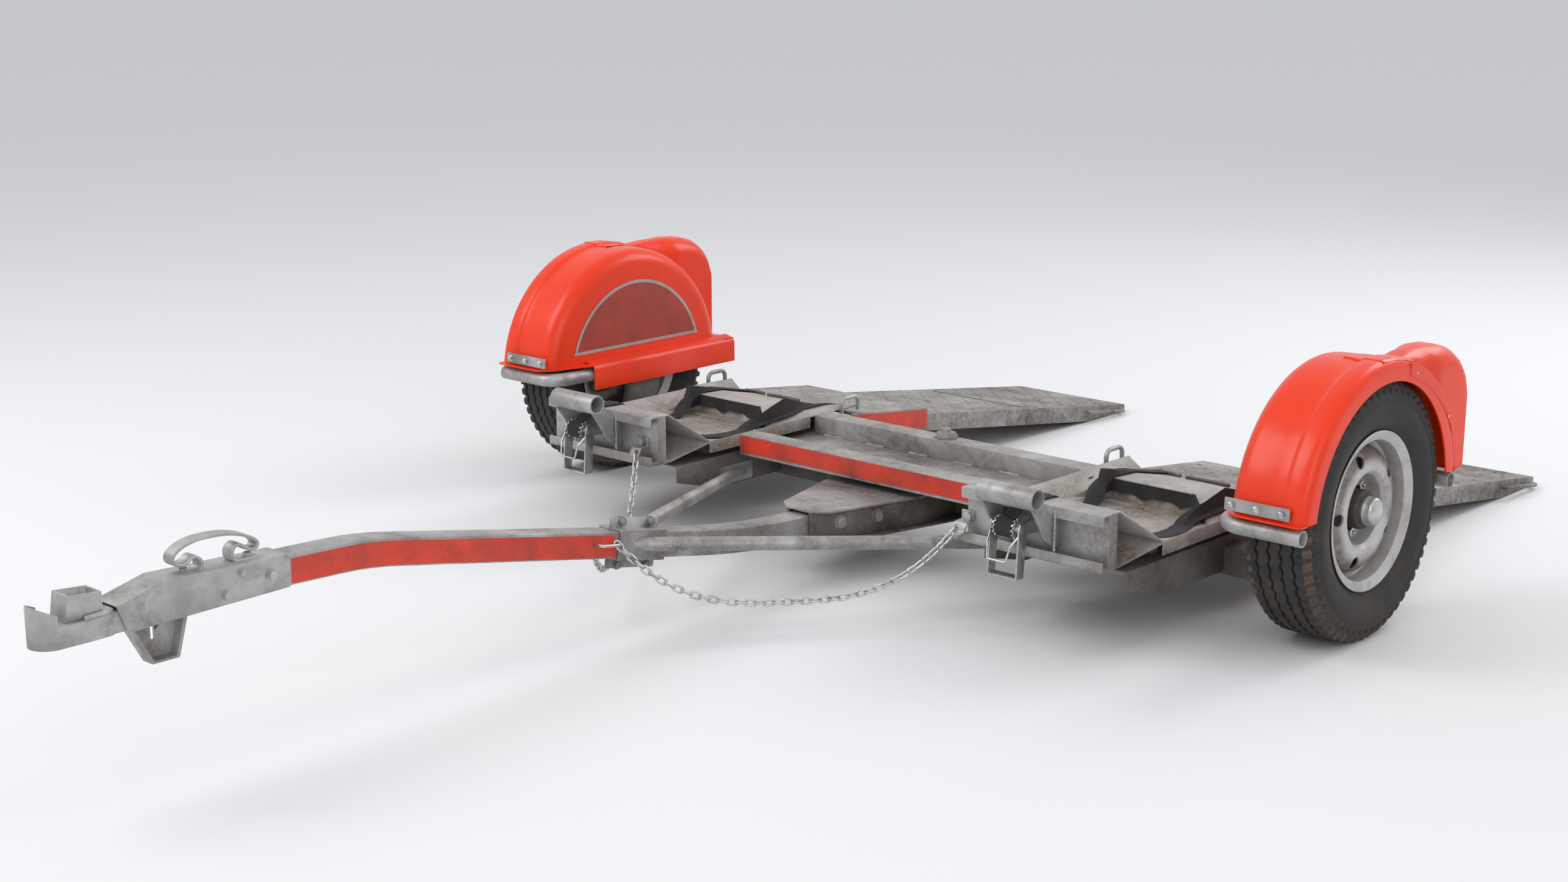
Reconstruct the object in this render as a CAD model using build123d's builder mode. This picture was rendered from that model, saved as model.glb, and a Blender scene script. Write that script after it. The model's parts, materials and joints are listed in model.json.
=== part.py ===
from build123d import *
from math import atan2, ceil, cos, degrees, radians, sin, tan
import os

os.makedirs("parts", exist_ok=True)

# A two-wheel tow dolly for cars, in millimetres, +Z up. The tongue points to -Y and the two ramps
# to +Y. "left" and "right" are those of someone who faces the way it travels, so left is +X.
# Every height is measured from the ground and every y from the axle. The views below carry those
# measures into the row's frame, whose origin lies on the ground under the middle of the length.

# Overall reach and the running gear
nose_y = -2583.0
ramp_end_y = 1590.0
axle_y = -(nose_y + ramp_end_y) / 2
hub_z = 304.0
wheel_x = 1204.0

# Tyre and rim, as widths across the wheel and radii about the hub
tyre_radius = hub_z
tyre_width = 176.0
tyre_shoulder = 10.0
tyre_wall = 11.0
tread_width = 136.0
groove_width = 8.0
groove_depth = 6.0
groove_pitch = 30.0
groove_count = 4
rim_radius = 183.0
rim_width = 144.0
rim_sheet = 5.0
bead_radius = 165.0
well_radius = 142.0
nave_radius = 84.0
hub_radius = 44.0
hand_hole_radius = 14.0
hand_hole_circle = 122.0
hand_holes = 5
stud_circle = 58.0
nut_radius = 10.5
nut_height = 22.0
cap_radius = 33.0
cap_reach = 86.0

# Axle, arms and spindles
beam_depth = 70.0
beam_front = -75.0
beam_bottom = 105.0
beam_top = 174.0
beam_wall = 5.0
arm_inner_x = 1072.0
arm_thickness = 22.0
arm_half = 60.0
arm_top = 338.0
spindle_radius = 18.0

# Tongue: a bent square tube
tongue_width = 64.0
tongue_height = 60.0
tongue_wall = 3.2
tongue_start = (-2300.0, 376.0)
tongue_upper_bend = (-1840.0, 361.0)
tongue_lower_bend = (-670.0, 135.0)
upper_bend_radius = 900.0
lower_bend_radius = 2400.0

# Tongue box: plates that join the tongue to the axle
box_plate = 6.0
box_nose_y = -515.0
box_nose_half = 41.0
box_shoulder_y = -485.0
box_shoulder_half = 77.0
box_rear_half = 150.0
box_flare_y = -215.0
box_top_end_y = 120.0
box_foot_nose_half = 60.0
box_foot_shoulder_half = 95.0
box_foot_rear_half = 191.0
box_foot_flare_y = -79.0
box_side_nose = 33.0
box_side_bend = (72.0, -470.0)
box_side_rear = 145.0

# Beams of the platform
beam_low = 205.0
beam_high = 256.0
front_beam_y = (-268.0, -209.0)
rear_beam_y = (32.0, 95.0)
platform_wall = 4.0
base_plate = 5.0
pivot_y = 68.0
pivot_radius = 12.0
pivot_cap = 30.0
pivot_bearing = 60.0

# Pans: two cradles of folded sheet, the same weldment moved sideways
pan_x = {"left": 719.0, "right": -687.0}
pan_sheet = 4.0
rim_half = 253.0
floor_half = 192.0
crest_half = 201.0
crest_front_half = 113.0
rim_z = 256.0
floor_z = 224.0
crest_z = 276.0
rim_front_y = -380.0
floor_front_y = -156.0
gusset_foot_y = -100.0
crest_front_y = -42.0
rim_corner_y = 15.0
crest_rear_y = 26.0
hump_rear_y = 211.0
hump_rear_z = 236.0
wing_rear_y = 232.0
lip_depth = 33.0
pan_hole_radius = 7.0
pan_hole_pitch = 122.0
pan_hole_y = -80.0
gusset_hole = (190.0, -26.0)

# Stop channel at the front of each pan, from the pan's centre line
channel_x = (-181.0, 210.0)
channel_front_y = -556.0
channel_rear_y = -490.0
channel_top = 340.0
channel_bottom = 214.0
channel_sheet = 5.0
channel_lip_top = 26.0
channel_lip_bottom = 20.0
web_front_y = -530.0
return_width = 30.0

# Stop tube, its brackets and the ratchet
stop_tube_x = (-74.0, 81.0)
stop_tube_y = -621.0
stop_tube_z = 366.0
stop_tube_radius = 25.0
stop_tube_wall = 4.0
bracket_x = (-68.0, 70.0)
bracket_plate = 6.0
ratchet_y = -600.0
ratchet_z = 284.0
ratchet_x = (-46.0, 18.0)
ratchet_plate = 4.0
tooth_count = 12
tooth_radius = 24.0
tooth_root = 19.0
drum_radius = 21.0
drum_core = 9.0
handle_gap = 5.5
handle_plate = 4.0
handle_length = 112.0
handle_bar = 26.0
handle_lean = 8.0

# Trays under the pans
tray_x = (-173.0, 224.0)
tray_front_y = -475.0
tray_rear_y = 120.0
tray_sheet = 4.0
tray_top = 200.0
tray_nose_z = 154.0
tray_low_z = 113.0
tray_slope_y = -315.0
bearer_half = 15.0
bearer_y = (-310.0, 60.0)

# Decks and ramps behind the pans
deck_x = (-216.0, 253.0)
deck_sheet = 6.0
deck_front_y = 190.0
deck_front_z = 234.0
deck_rear_y = 530.0
deck_rear_z = 193.0
deck_bottom = 134.0
ramp_width = 420.0
ramp_sheet = 6.0
ramp_depth = 50.0
ramp_slope = 7.9
ramp_pivot_y = 470.0
ramp_pivot_z = 154.0
ramp_front_reach = 22.0
ramp_pin_radius = 8.0
pin_clearance = 0.1
ramp_rib_y = (600.0, 820.0, 1040.0, 1260.0)
ramp_rib_sheet = 6.0
ramp_rib_rise = 4.0
ramp_handle_y = (1374.0, 1556.0)
ramp_handle_reach = 26.0
ramp_handle_radius = 6.0

# Tie-down loops
loop_radius = 6.0
loop_y = (139.0, 209.0)
loop_top = 284.0
loop_foot = 244.0

# Fenders and their frames
fender_inner_x = 1100.0
fender_outer_x = 1303.0
fender_radius = 352.0
fender_sheet = 4.0
fender_lip = 298.0
fender_band = 60.0
fender_band_rise = 7.0
fender_bottom = 338.0
flange_inner_x = 1062.0
flange_front_y = -365.0
flange_rear_y = 372.0
skirt_bottom = 268.0
skirt_front_y = -205.0
frame_tube = 19.0
frame_bore = 16.0
frame_inner_x = 1086.0
frame_outer_x = 1294.0
frame_y = 340.0
frame_z = 314.0
frame_bend = 55.0
hood_x = (1168.0, 1296.0)
hood_front_y = 95.0
hood_crest_y = 180.0
hood_brow_y = 300.0
hood_rear_y = 386.0
hood_top = 648.0
hood_sill = 402.0
strap_plate_x = (1107.0, 1267.0)
strap_plate_z = (350.0, 378.0)
strap_plate_sheet = 5.0
strap_plate_lead = 11.1

# Coupler
head_half = 40.0
head_bottom = 333.0
head_top = 374.0
head_rear_y = -2404.0
head_taper_y = -2464.0
head_neck_y = -2430.0
head_step_y = -2488.0
head_hollow_y = (-2500.0, -2404.0)
ball_radius = 25.4
ball_depth = 11.0
socket_clearance = 0.6
socket_wall = 4.0
shroud_top = 417.0
shroud_sheet = 3.0
latch_y = (-2525.0, -2447.0)
latch_bottom = 381.0
latch_top = 425.0
latch_half = 27.0
housing_wall = 4.0
housing_gap = 0.3
housing_rear_y = -2042.0
housing_nose_top = (-2425.0, 385.0)
housing_bend_y = -2322.0
housing_bend_z = 412.0
housing_rear_z = 402.8
bow_y = -2180.0
bow_path = [(-34, 3), (-92, 3), (-106, 22), (-88, 44), (-50, 55), (33, 55), (72, 46), (97, 27), (88, 3), (34, 3)]
handle_strip = 6.0
handle_strip_width = 32.0
foot_bottom = 248.0
foot_sheet = 5.0
foot_half = 16.0
foot_y = (-2392.0, -2346.0, -2286.0, -2262.0)
foot_slot_y = (-2330.0, -2322.0)
foot_slot_z = (287.0, 326.0)

# Clamp, braces and chains
clamp_y = (-1158.0, -1010.0)
clamp_lean = 10.93
clamp_sheet = 5.0
clamp_flange = 22.0
clamp_gap = 0.3
clamp_middle = (-1084.0, 215.0)
brace_radius = 16.5
brace_bore = 13.5
brace_start = (-1085.0, 218.0)
brace_tab_y = (-312.0, -196.0)
brace_tab_z = (120.0, 168.0)
brace_tab = 8.0
eye_radius = 3.5
eye_front = (-1229.0, 247.0)
eye_rear = (-1173.0, 238.0)
eye_reach = 58.0
eye_hook_x = 47.0
tab_sheet = 3.0
tab_y = -564.7
tab_bolt_z = 266.0
tab_knee_z = 256.0
tab_shelf_y = -558.0
tab_shelf_z = 254.0
tab_lean = 34.0
tab_eye_z = 244.0
tab_eye_radius = 7.0
tab_rim = 4.5
tab_bolt_x = {"left": 545.0, "right": -531.0}
tab_eye_x = {"left": 534.0, "right": -521.0}
link_wire = 5.0
link_inner = 22.0
link_slack = 0.5
link_half_width = 4.3
chain_sag = 158.0


def side_view(x):
    """Plane that shows y and z, and extrudes to +X."""
    return Plane(origin=(x, axle_y, 0), x_dir=(0, 1, 0), z_dir=(1, 0, 0))


def front_view(y):
    """Plane that shows x and z, and extrudes to -Y."""
    return Plane(origin=(0, axle_y + y, 0), x_dir=(1, 0, 0), z_dir=(0, -1, 0))


def top_view(z):
    """Plane that shows x and y, and extrudes up."""
    return Plane(origin=(0, axle_y, z))


def half_view(s, x=0.0):
    """Plane that shows the distance outward from x on one side, and z."""
    return Plane(origin=(s * x, axle_y, 0), x_dir=(s, 0, 0), z_dir=(0, -s, 0))


chassis = top_view(0)
wheel_axis = Axis((0, axle_y, hub_z), (1, 0, 0))


def slab(plane, points, depth, mode=Mode.ADD):
    """Extrude a closed outline, drawn on a plane, into the sub-part being built."""
    with BuildSketch(plane) as outline:
        with BuildLine():
            Polyline(*points, close=True)
        make_face()
    extrude(outline.sketch, amount=depth, mode=mode)


def brick(x, y, z, mode=Mode.ADD):
    """Add the box between two limits along each direction."""
    with Locations((min(x), axle_y + min(y), min(z))):
        Box(abs(x[1] - x[0]), abs(y[1] - y[0]), abs(z[1] - z[0]), align=(Align.MIN,) * 3, mode=mode)


def facet(points, drop):
    """Add a flat sheet through three or four points, dropped straight down by its thickness."""
    with BuildLine(chassis) as edge:
        Polyline(*points, close=True)
    extrude(Face(Wire(edge.edges())), amount=drop, dir=(0, 0, -1))


def rod(points, radius, bend=0.0, bore=0.0, mode=Mode.ADD):
    """Sweep a round bar, or a tube where it has a bore, along a path with rounded corners."""
    with BuildLine(chassis) as path:
        if bend:
            FilletPolyline(*points, radius=bend)
        else:
            Polyline(*points)
    with BuildSketch(Plane(origin=path.line @ 0, z_dir=path.line % 0)) as section:
        Circle(radius)
        if bore:
            Circle(bore, mode=Mode.SUBTRACT)
    sweep(section.sketch, path=path.wire(), mode=mode)


def save(builder, name):
    """Label a finished sub-part and write it."""
    builder.part.label = name
    export_step(builder.part, f"parts/{name}.step")


def build_tyre(side, s):
    """Hollow tyre with circumferential grooves."""
    half = tyre_width / 2
    top = hub_z + tyre_radius
    seat = rim_width / 2 - 2 * rim_sheet
    bore = hub_z + bead_radius + rim_sheet / 2 + 0.1
    foot = (seat + 4, hub_z + rim_radius + 4)
    bulge = (half, hub_z + (tyre_radius + rim_radius) / 2)
    shoulder = (half - tyre_shoulder, top - tyre_shoulder)
    inner_foot = (seat - tyre_wall, foot[1])
    inner_bulge = (half - tyre_wall, bulge[1])
    inner_shoulder = (tread_width / 2 - tyre_wall / 2, top - 1.4 * tyre_wall)
    with BuildPart() as tyre:
        with BuildSketch(half_view(s, wheel_x)):
            with BuildLine():
                Polyline((0, top), (tread_width / 2, top), shoulder)
                ThreePointArc(shoulder, bulge, foot)
                Polyline(foot, (seat + 3, bore + 12), (seat - 2, bore + 1), (seat - 3, bore), (seat - 1.3 * tyre_wall, bore), inner_foot)
                ThreePointArc(inner_foot, inner_bulge, inner_shoulder)
                Polyline(inner_shoulder, (0, inner_shoulder[1]), (0, top))
            make_face()
            mirror(about=Plane.YZ)
            with Locations((0, top)):
                with GridLocations(groove_pitch, 0, groove_count, 1):
                    Rectangle(groove_width, 2 * groove_depth, mode=Mode.SUBTRACT)
        revolve(axis=wheel_axis)
    save(tyre, f"tyre_{side}")


def build_rim(side, s):
    """Pressed rim: rolled edges, drop well, domed disc with hand holes and a nave for the studs."""
    edge = rim_width / 2
    seat = edge - 2 * rim_sheet
    disc = [(14, 150), (38, 141), (52, 126), (58, 100), (56, nave_radius + 8), (46, nave_radius),
            (16, nave_radius - 3), (6, nave_radius - 10), (6, spindle_radius + 14 + rim_sheet / 2)]
    barrel = [(edge, rim_radius), (edge - 4, rim_radius - 7), (seat, bead_radius), (26, bead_radius - 2),
              (14, well_radius + 6), (-14, well_radius), (-34, well_radius + 6), (-46, bead_radius - 2),
              (-seat, bead_radius), (-edge + 4, rim_radius - 7), (-edge, rim_radius)]
    with BuildPart() as rim:
        with BuildSketch(half_view(s, wheel_x)):
            for outline in (barrel, disc):
                with BuildLine():
                    Polyline(*[(w, hub_z + r) for w, r in outline])
                    offset(amount=rim_sheet / 2)
                make_face()
        revolve(axis=wheel_axis)
        with Locations(Plane(origin=(s * wheel_x, axle_y, hub_z), z_dir=(s, 0, 0))):
            with PolarLocations(hand_hole_circle, hand_holes, start_angle=90):
                Cylinder(hand_hole_radius, 2 * edge, mode=Mode.SUBTRACT)
    save(rim, f"rim_{side}")


def build_hub(side, s):
    """Hub drum with its dust cap, studs and nuts."""
    nave = 6 + rim_sheet / 2
    outline = [(-30, spindle_radius), (-30, hub_radius + 12), (nave - rim_sheet, hub_radius + 26),
               (nave - rim_sheet, spindle_radius + 13.5), (nave + 34, spindle_radius + 13.5),
               (nave + 34, cap_radius), (cap_reach - 5, cap_radius), (cap_reach, cap_radius - 5), (cap_reach, 0),
               (20, 0), (20, spindle_radius)]
    with BuildPart() as hub:
        with BuildSketch(half_view(s, wheel_x)):
            with BuildLine():
                Polyline(*[(w, hub_z + r) for w, r in outline], close=True)
            make_face()
        revolve(axis=wheel_axis)
        with Locations(Plane(origin=(s * (wheel_x + nave), axle_y, hub_z), z_dir=(s, 0, 0))):
            with PolarLocations(stud_circle, hand_holes, start_angle=54):
                Cylinder(nut_radius, nut_height, align=(Align.CENTER, Align.CENTER, Align.MIN))
    save(hub, f"hub_{side}")


def build_axle():
    """Square axle beam that runs across under the platform."""
    ends = arm_inner_x
    with BuildPart() as beam:
        brick((-ends, ends), (beam_front, beam_front + beam_depth), (beam_bottom, beam_top))
        brick((-ends, ends), (beam_front + beam_wall, beam_front + beam_depth - beam_wall),
              (beam_bottom + beam_wall, beam_top - beam_wall), mode=Mode.SUBTRACT)
    save(beam, "axle_beam")


def build_arm(side, s):
    """Plate arm on each end of the axle beam, with the spindle."""
    beam_rear = beam_front + beam_depth
    profile = [(beam_front, beam_bottom), (beam_rear, beam_bottom), (arm_half, hub_z - arm_half),
               (arm_half, arm_top), (-arm_half, arm_top), (-arm_half, hub_z - arm_half), (beam_front, beam_top + 20)]
    with BuildPart() as arm:
        slab(side_view(s * arm_inner_x), profile, s * arm_thickness)
        with Locations(Plane(origin=(s * arm_inner_x, axle_y, hub_z), z_dir=(s, 0, 0))):
            Cylinder(spindle_radius - pin_clearance, wheel_x + 19 - arm_inner_x,
                     align=(Align.CENTER, Align.CENTER, Align.MIN))
    save(arm, f"axle_arm_{side}")


def build_fender(side, s):
    """Moulded arch over the wheel: inner wall, crown with a raised outer band, lip, flange and skirt."""
    band_x = fender_outer_x - fender_band
    crown = fender_radius - fender_band_rise
    path = [(fender_inner_x, hub_z), (fender_inner_x, hub_z + crown - 34), (fender_inner_x + 34, hub_z + crown),
            (band_x, hub_z + crown), (band_x + fender_band_rise, hub_z + fender_radius),
            (fender_outer_x - 18, hub_z + fender_radius), (fender_outer_x, hub_z + fender_radius - 22),
            (fender_outer_x, hub_z + fender_lip)]
    half = fender_sheet / 2
    foot = fender_bottom
    with BuildPart() as fender:
        with BuildSketch(half_view(s)):
            with BuildLine():
                Polyline(*[(x - half, z) for x, z in path])
                offset(amount=half)
            make_face()
            with Locations((fender_inner_x, hub_z)):
                Rectangle(60, 20, align=(Align.CENTER, Align.MAX), mode=Mode.SUBTRACT)
        revolve(axis=wheel_axis)
        split(bisect_by=top_view(foot), keep=Keep.TOP)
        flange = [(flange_inner_x, skirt_front_y), (fender_inner_x, flange_front_y), (fender_outer_x - half, flange_front_y),
                  (fender_outer_x - half, -frame_y), (fender_inner_x, -frame_y), (fender_inner_x, frame_y),
                  (fender_outer_x - half, frame_y), (fender_outer_x - half, flange_rear_y), (flange_inner_x, flange_rear_y)]
        slab(top_view(foot), [(s * x, y) for x, y in flange], fender_sheet)
        brick((s * flange_inner_x, s * (flange_inner_x + fender_sheet)), (skirt_front_y, flange_rear_y),
              (skirt_bottom, foot + fender_sheet))
    save(fender, f"fender_{side}")


def build_hood(side, s):
    """Lamp hood that rises from the rear of the arch and opens rearward."""
    low, high = sorted((s * hood_x[0], s * hood_x[1]))
    band_low, band_high = sorted((s * (fender_outer_x - fender_band - fender_sheet), s * fender_outer_x))
    t = fender_sheet
    foot = fender_bottom + t
    crown = fender_radius + t / 2 + pin_clearance
    outline = [(hood_front_y, hub_z), (hood_front_y, hood_top - 14), (hood_crest_y, hood_top), (hood_brow_y, hood_top - 6),
               (hood_rear_y - 14, hood_top - 46), (hood_rear_y, hood_top - 80), (hood_rear_y, foot), (frame_y, foot)]
    inner = [(hood_front_y, hub_z), (hood_front_y, hood_top - 14 - t), (hood_crest_y, hood_top - t), (hood_brow_y - 2, hood_top - 6 - t),
             (hood_rear_y - 14 - t, hood_top - 46 - t), (hood_rear_y + t, hood_top - 80), (hood_rear_y + t, hood_sill), (frame_y, hood_sill)]
    with BuildPart() as hood:
        slab(side_view(low), outline, high - low)
        slab(side_view(low + t), inner, high - low - 2 * t, mode=Mode.SUBTRACT)
        with Locations(Plane(origin=(low, axle_y, hub_z), z_dir=(1, 0, 0))):
            Cylinder(crown - fender_band_rise, high - low, align=(Align.CENTER, Align.CENTER, Align.MIN),
                     mode=Mode.SUBTRACT)
        with Locations(Plane(origin=(band_low, axle_y, hub_z), z_dir=(1, 0, 0))):
            Cylinder(crown, band_high - band_low, align=(Align.CENTER, Align.CENTER, Align.MIN),
                     mode=Mode.SUBTRACT)
    save(hood, f"fender_hood_{side}")


def build_fender_frame(side, s):
    """Bent tube that carries the fender, and the plate that clamps its front foot."""
    with BuildPart() as frame:
        for end in (-1, 1):
            rod([(s * frame_outer_x, end * frame_y, frame_z), (s * frame_inner_x, end * frame_y, frame_z),
                 (s * frame_inner_x, end * arm_half, frame_z)], frame_tube, frame_bend, frame_bore)
        front = -frame_y - strap_plate_lead
        brick((s * strap_plate_x[0], s * strap_plate_x[1]), (front - strap_plate_sheet, front), strap_plate_z)
    save(frame, f"fender_frame_{side}")


def build_channel(side, s):
    """Lipped channel that stops the car's wheel, closed at both ends."""
    x = pan_x[side]
    t = channel_sheet
    profile = [(channel_front_y, channel_top - channel_lip_top), (channel_front_y, channel_top), (channel_rear_y, channel_top),
               (channel_rear_y, channel_top - t), (web_front_y + t, channel_top - t), (web_front_y + t, channel_bottom + t),
               (channel_rear_y, channel_bottom + t), (channel_rear_y, channel_bottom), (channel_front_y, channel_bottom),
               (channel_front_y, channel_bottom + channel_lip_bottom), (channel_front_y + t, channel_bottom + channel_lip_bottom),
               (channel_front_y + t, channel_bottom + t), (web_front_y, channel_bottom + t), (web_front_y, channel_top - t),
               (channel_front_y + t, channel_top - t), (channel_front_y + t, channel_top - channel_lip_top)]
    low, high = x + channel_x[0], x + channel_x[1]
    with BuildPart() as channel:
        slab(side_view(low), profile, high - low)
        for end in ((low, low + t), (high - t, high)):
            brick(end, (web_front_y + t, web_front_y + return_width), (channel_bottom + t, channel_top - t))
    save(channel, f"stop_channel_{side}")


def build_stop_tube(side, s):
    """Tube that the car's wheel rests against, on two slanting brackets."""
    x = pan_x[side]
    tube = Plane(origin=(x + stop_tube_x[0], axle_y + stop_tube_y, stop_tube_z), z_dir=(1, 0, 0))
    length = stop_tube_x[1] - stop_tube_x[0]
    bracket = [(web_front_y, channel_bottom + channel_lip_bottom + 2), (web_front_y, channel_top - channel_lip_top),
               (channel_front_y, channel_top - channel_lip_top), (stop_tube_y + 8, stop_tube_z), (stop_tube_y - 18, stop_tube_z - 14),
               (channel_front_y - 22, channel_bottom + 50)]
    with BuildPart() as stop:
        for offset_x in bracket_x:
            slab(side_view(x + offset_x), bracket, bracket_plate)
        with Locations(tube):
            Cylinder(stop_tube_radius, length, align=(Align.CENTER, Align.CENTER, Align.MIN))
            Cylinder(stop_tube_radius - stop_tube_wall, length, align=(Align.CENTER, Align.CENTER, Align.MIN), mode=Mode.SUBTRACT)
    save(stop, f"stop_tube_{side}")


def build_ratchet(side, s):
    """Ratchet frame bolted to the channel: two cheeks and the toothed wheels of the fixed drum."""
    x = pan_x[side]
    cheek = [(web_front_y, ratchet_z - 20), (web_front_y, ratchet_z + 16), (ratchet_y, ratchet_z + 13),
             (ratchet_y - 12, ratchet_z), (ratchet_y, ratchet_z - 13)]
    low, high = x + ratchet_x[0], x + ratchet_x[1]
    with BuildPart() as ratchet:
        for start in (low, high - ratchet_plate):
            slab(side_view(start), cheek, ratchet_plate)
        with BuildSketch(side_view(low + ratchet_plate)) as teeth:
            with Locations((ratchet_y, ratchet_z)):
                Circle(tooth_root)
                with PolarLocations(tooth_root, tooth_count):
                    Rectangle(2 * (tooth_radius - tooth_root), 5)
        wheel = teeth.sketch
        extrude(wheel, amount=ratchet_plate)
        extrude(wheel.moved(Location((high - low - 3 * ratchet_plate, 0, 0))), amount=ratchet_plate)
        reach = handle_gap + handle_plate
        with Locations(Plane(origin=(low - reach, axle_y + ratchet_y, ratchet_z), z_dir=(1, 0, 0))):
            Cylinder(drum_core, high - low + 2 * reach, align=(Align.CENTER, Align.CENTER, Align.MIN))
    save(ratchet, f"ratchet_{side}")


def build_ratchet_handle(side, s):
    """Folding handle of the ratchet: two arms on the drum shaft, a grip and a wire bail."""
    x = pan_x[side]
    low, high = x + ratchet_x[0] - handle_gap, x + ratchet_x[1] + handle_gap
    end_y = ratchet_y - handle_lean
    end_z = ratchet_z - handle_length
    arm = [(ratchet_y - 15, ratchet_z - 8), (ratchet_y - 9, ratchet_z + 13), (ratchet_y + 9, ratchet_z + 13), (ratchet_y + 15, ratchet_z - 8),
           (end_y + handle_bar / 2, end_z), (end_y - handle_bar / 2, end_z)]
    with BuildPart() as handle:
        slab(side_view(low - handle_plate), arm, handle_plate)
        slab(side_view(high), arm, handle_plate)
        brick((low - handle_plate, high + handle_plate), (end_y - handle_bar / 2, end_y + handle_bar / 2),
              (end_z, end_z + handle_plate))
        with Locations(Plane(origin=(low - handle_plate, axle_y + ratchet_y, ratchet_z), z_dir=(1, 0, 0))):
            Cylinder(drum_core + pin_clearance, high - low + 2 * handle_plate,
                     align=(Align.CENTER, Align.CENTER, Align.MIN), mode=Mode.SUBTRACT)
        bail_y = ratchet_y - 34
        bail_z = ratchet_z - 34
        rod([(low - handle_plate / 2, ratchet_y - 12, ratchet_z - 12), (low + 6, bail_y, bail_z), (low + 12, bail_y - 8, bail_z - 34),
             (high - 12, bail_y - 8, bail_z - 34), (high - 6, bail_y, bail_z), (high + handle_plate / 2, ratchet_y - 12, ratchet_z - 12)], 2.5, 5)
    save(handle, f"ratchet_handle_{side}")


def build_strap(side, s):
    """Wheel strap: webbing wound on the drum, led over the stop channel and laid round the cradle."""
    x = pan_x[side]
    t = 3.0
    seat = 0.3
    low, high = x + ratchet_x[0] + 2 * ratchet_plate + 1, x + ratchet_x[1] - 2 * ratchet_plate - 1
    with BuildPart() as strap:
        with Locations(Plane(origin=(low, axle_y + ratchet_y, ratchet_z), z_dir=(1, 0, 0))):
            Cylinder(drum_radius, high - low, align=(Align.CENTER, Align.CENTER, Align.MIN))
            Cylinder(drum_core + 0.3, high - low, align=(Align.CENTER, Align.CENTER, Align.MIN), mode=Mode.SUBTRACT)
        top = channel_top + seat
        path = [(ratchet_y + 2, ratchet_z + drum_radius - t), (channel_front_y - seat - t, channel_top - 12), (channel_front_y - seat - t, top + t),
                (channel_rear_y + seat + 4, top + t), (rim_front_y + 6, rim_z + 4 + t), (floor_front_y, floor_z + seat + t),
                (floor_front_y, floor_z + seat), (rim_front_y + 4, rim_z + 4), (channel_rear_y + 2, top),
                (channel_front_y - seat, top), (channel_front_y - seat, channel_top - 14), (ratchet_y + 2, ratchet_z + drum_radius - 2 * t)]
        slab(side_view(low), path, high - low)
        riser = crest_front_y - pan_sheet - seat
        brick((x - crest_front_half, x + crest_front_half), (riser - t, riser), (floor_z + 4, crest_z - 8))
    save(strap, f"wheel_strap_{side}")


def build_pan(side, s):
    """Cradle for one car wheel: dished floor, corner gussets, hump and wings, in folded sheet."""
    x = pan_x[side]
    t = pan_sheet
    left, right = x + channel_x[0], x + channel_x[1]
    with BuildPart() as pan:
        facet([(left, channel_rear_y, channel_top), (right, channel_rear_y, channel_top),
               (x + rim_half, rim_front_y, rim_z), (x - rim_half, rim_front_y, rim_z)], t)
        facet([(x - rim_half, rim_front_y, rim_z), (x + rim_half, rim_front_y, rim_z),
               (x + floor_half, floor_front_y, floor_z), (x - floor_half, floor_front_y, floor_z)], t)
        facet([(x - floor_half, floor_front_y, floor_z), (x + floor_half, floor_front_y, floor_z),
               (x + floor_half, gusset_foot_y, floor_z), (x + crest_front_half, crest_front_y, floor_z),
               (x - crest_front_half, crest_front_y, floor_z), (x - floor_half, gusset_foot_y, floor_z)], t)
        brick((x - crest_front_half, x + crest_front_half), (crest_front_y - t, crest_front_y), (floor_z - t, crest_z))
        for m in (-1, 1):
            rim, floor, crest = x + m * rim_half, x + m * floor_half, x + m * crest_half
            corner = (x + m * crest_front_half, crest_front_y, crest_z)
            facet([(rim, rim_front_y, rim_z), (rim, rim_corner_y, rim_z), (floor, gusset_foot_y, floor_z),
                   (floor, floor_front_y, floor_z)], t)
            facet([(rim, rim_corner_y, rim_z), (floor, gusset_foot_y, floor_z), corner], t)
            facet([(rim, rim_corner_y, rim_z), corner, (crest, crest_rear_y, crest_z)], t)
            facet([(rim, rim_corner_y, rim_z), (crest, crest_rear_y, crest_z), (rim, wing_rear_y, rim_z)], t)
            facet([(crest, crest_rear_y, crest_z), (crest, hump_rear_y, hump_rear_z), (rim, wing_rear_y, rim_z)], t)
            brick((rim - m * t, rim), (rim_front_y, rim_corner_y), (rim_z - lip_depth, rim_z - t))
        facet([(x - crest_front_half, crest_front_y, crest_z), (x + crest_front_half, crest_front_y, crest_z),
               (x + crest_half, crest_rear_y, crest_z), (x - crest_half, crest_rear_y, crest_z)], t)
        facet([(x - crest_half, crest_rear_y, crest_z), (x + crest_half, crest_rear_y, crest_z),
               (x + crest_half, hump_rear_y, hump_rear_z), (x - crest_half, hump_rear_y, hump_rear_z)], t)
        brick((left, right), (channel_front_y, channel_rear_y), (channel_bottom - t, channel_bottom))
        facet([(left, channel_rear_y, channel_bottom), (right, channel_rear_y, channel_bottom),
               (x + rim_half, rim_front_y, rim_z - t / 2), (x - rim_half, rim_front_y, rim_z - t / 2)], t)
        for y in bearer_y:
            brick((x + tray_x[0] + 20, x + tray_x[1] - 40), (y - bearer_half, y + bearer_half), (tray_top, floor_z - t / 2))
        with Locations((x, axle_y + pan_hole_y, floor_z)):
            with GridLocations(pan_hole_pitch, 0, 3, 1):
                Cylinder(pan_hole_radius, 4 * t, mode=Mode.SUBTRACT)
        with Locations((x, axle_y + gusset_hole[1], rim_z)):
            with GridLocations(2 * gusset_hole[0], 0, 2, 1):
                Cylinder(pan_hole_radius, 8 * t, mode=Mode.SUBTRACT)
    save(pan, f"pan_{side}")


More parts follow.
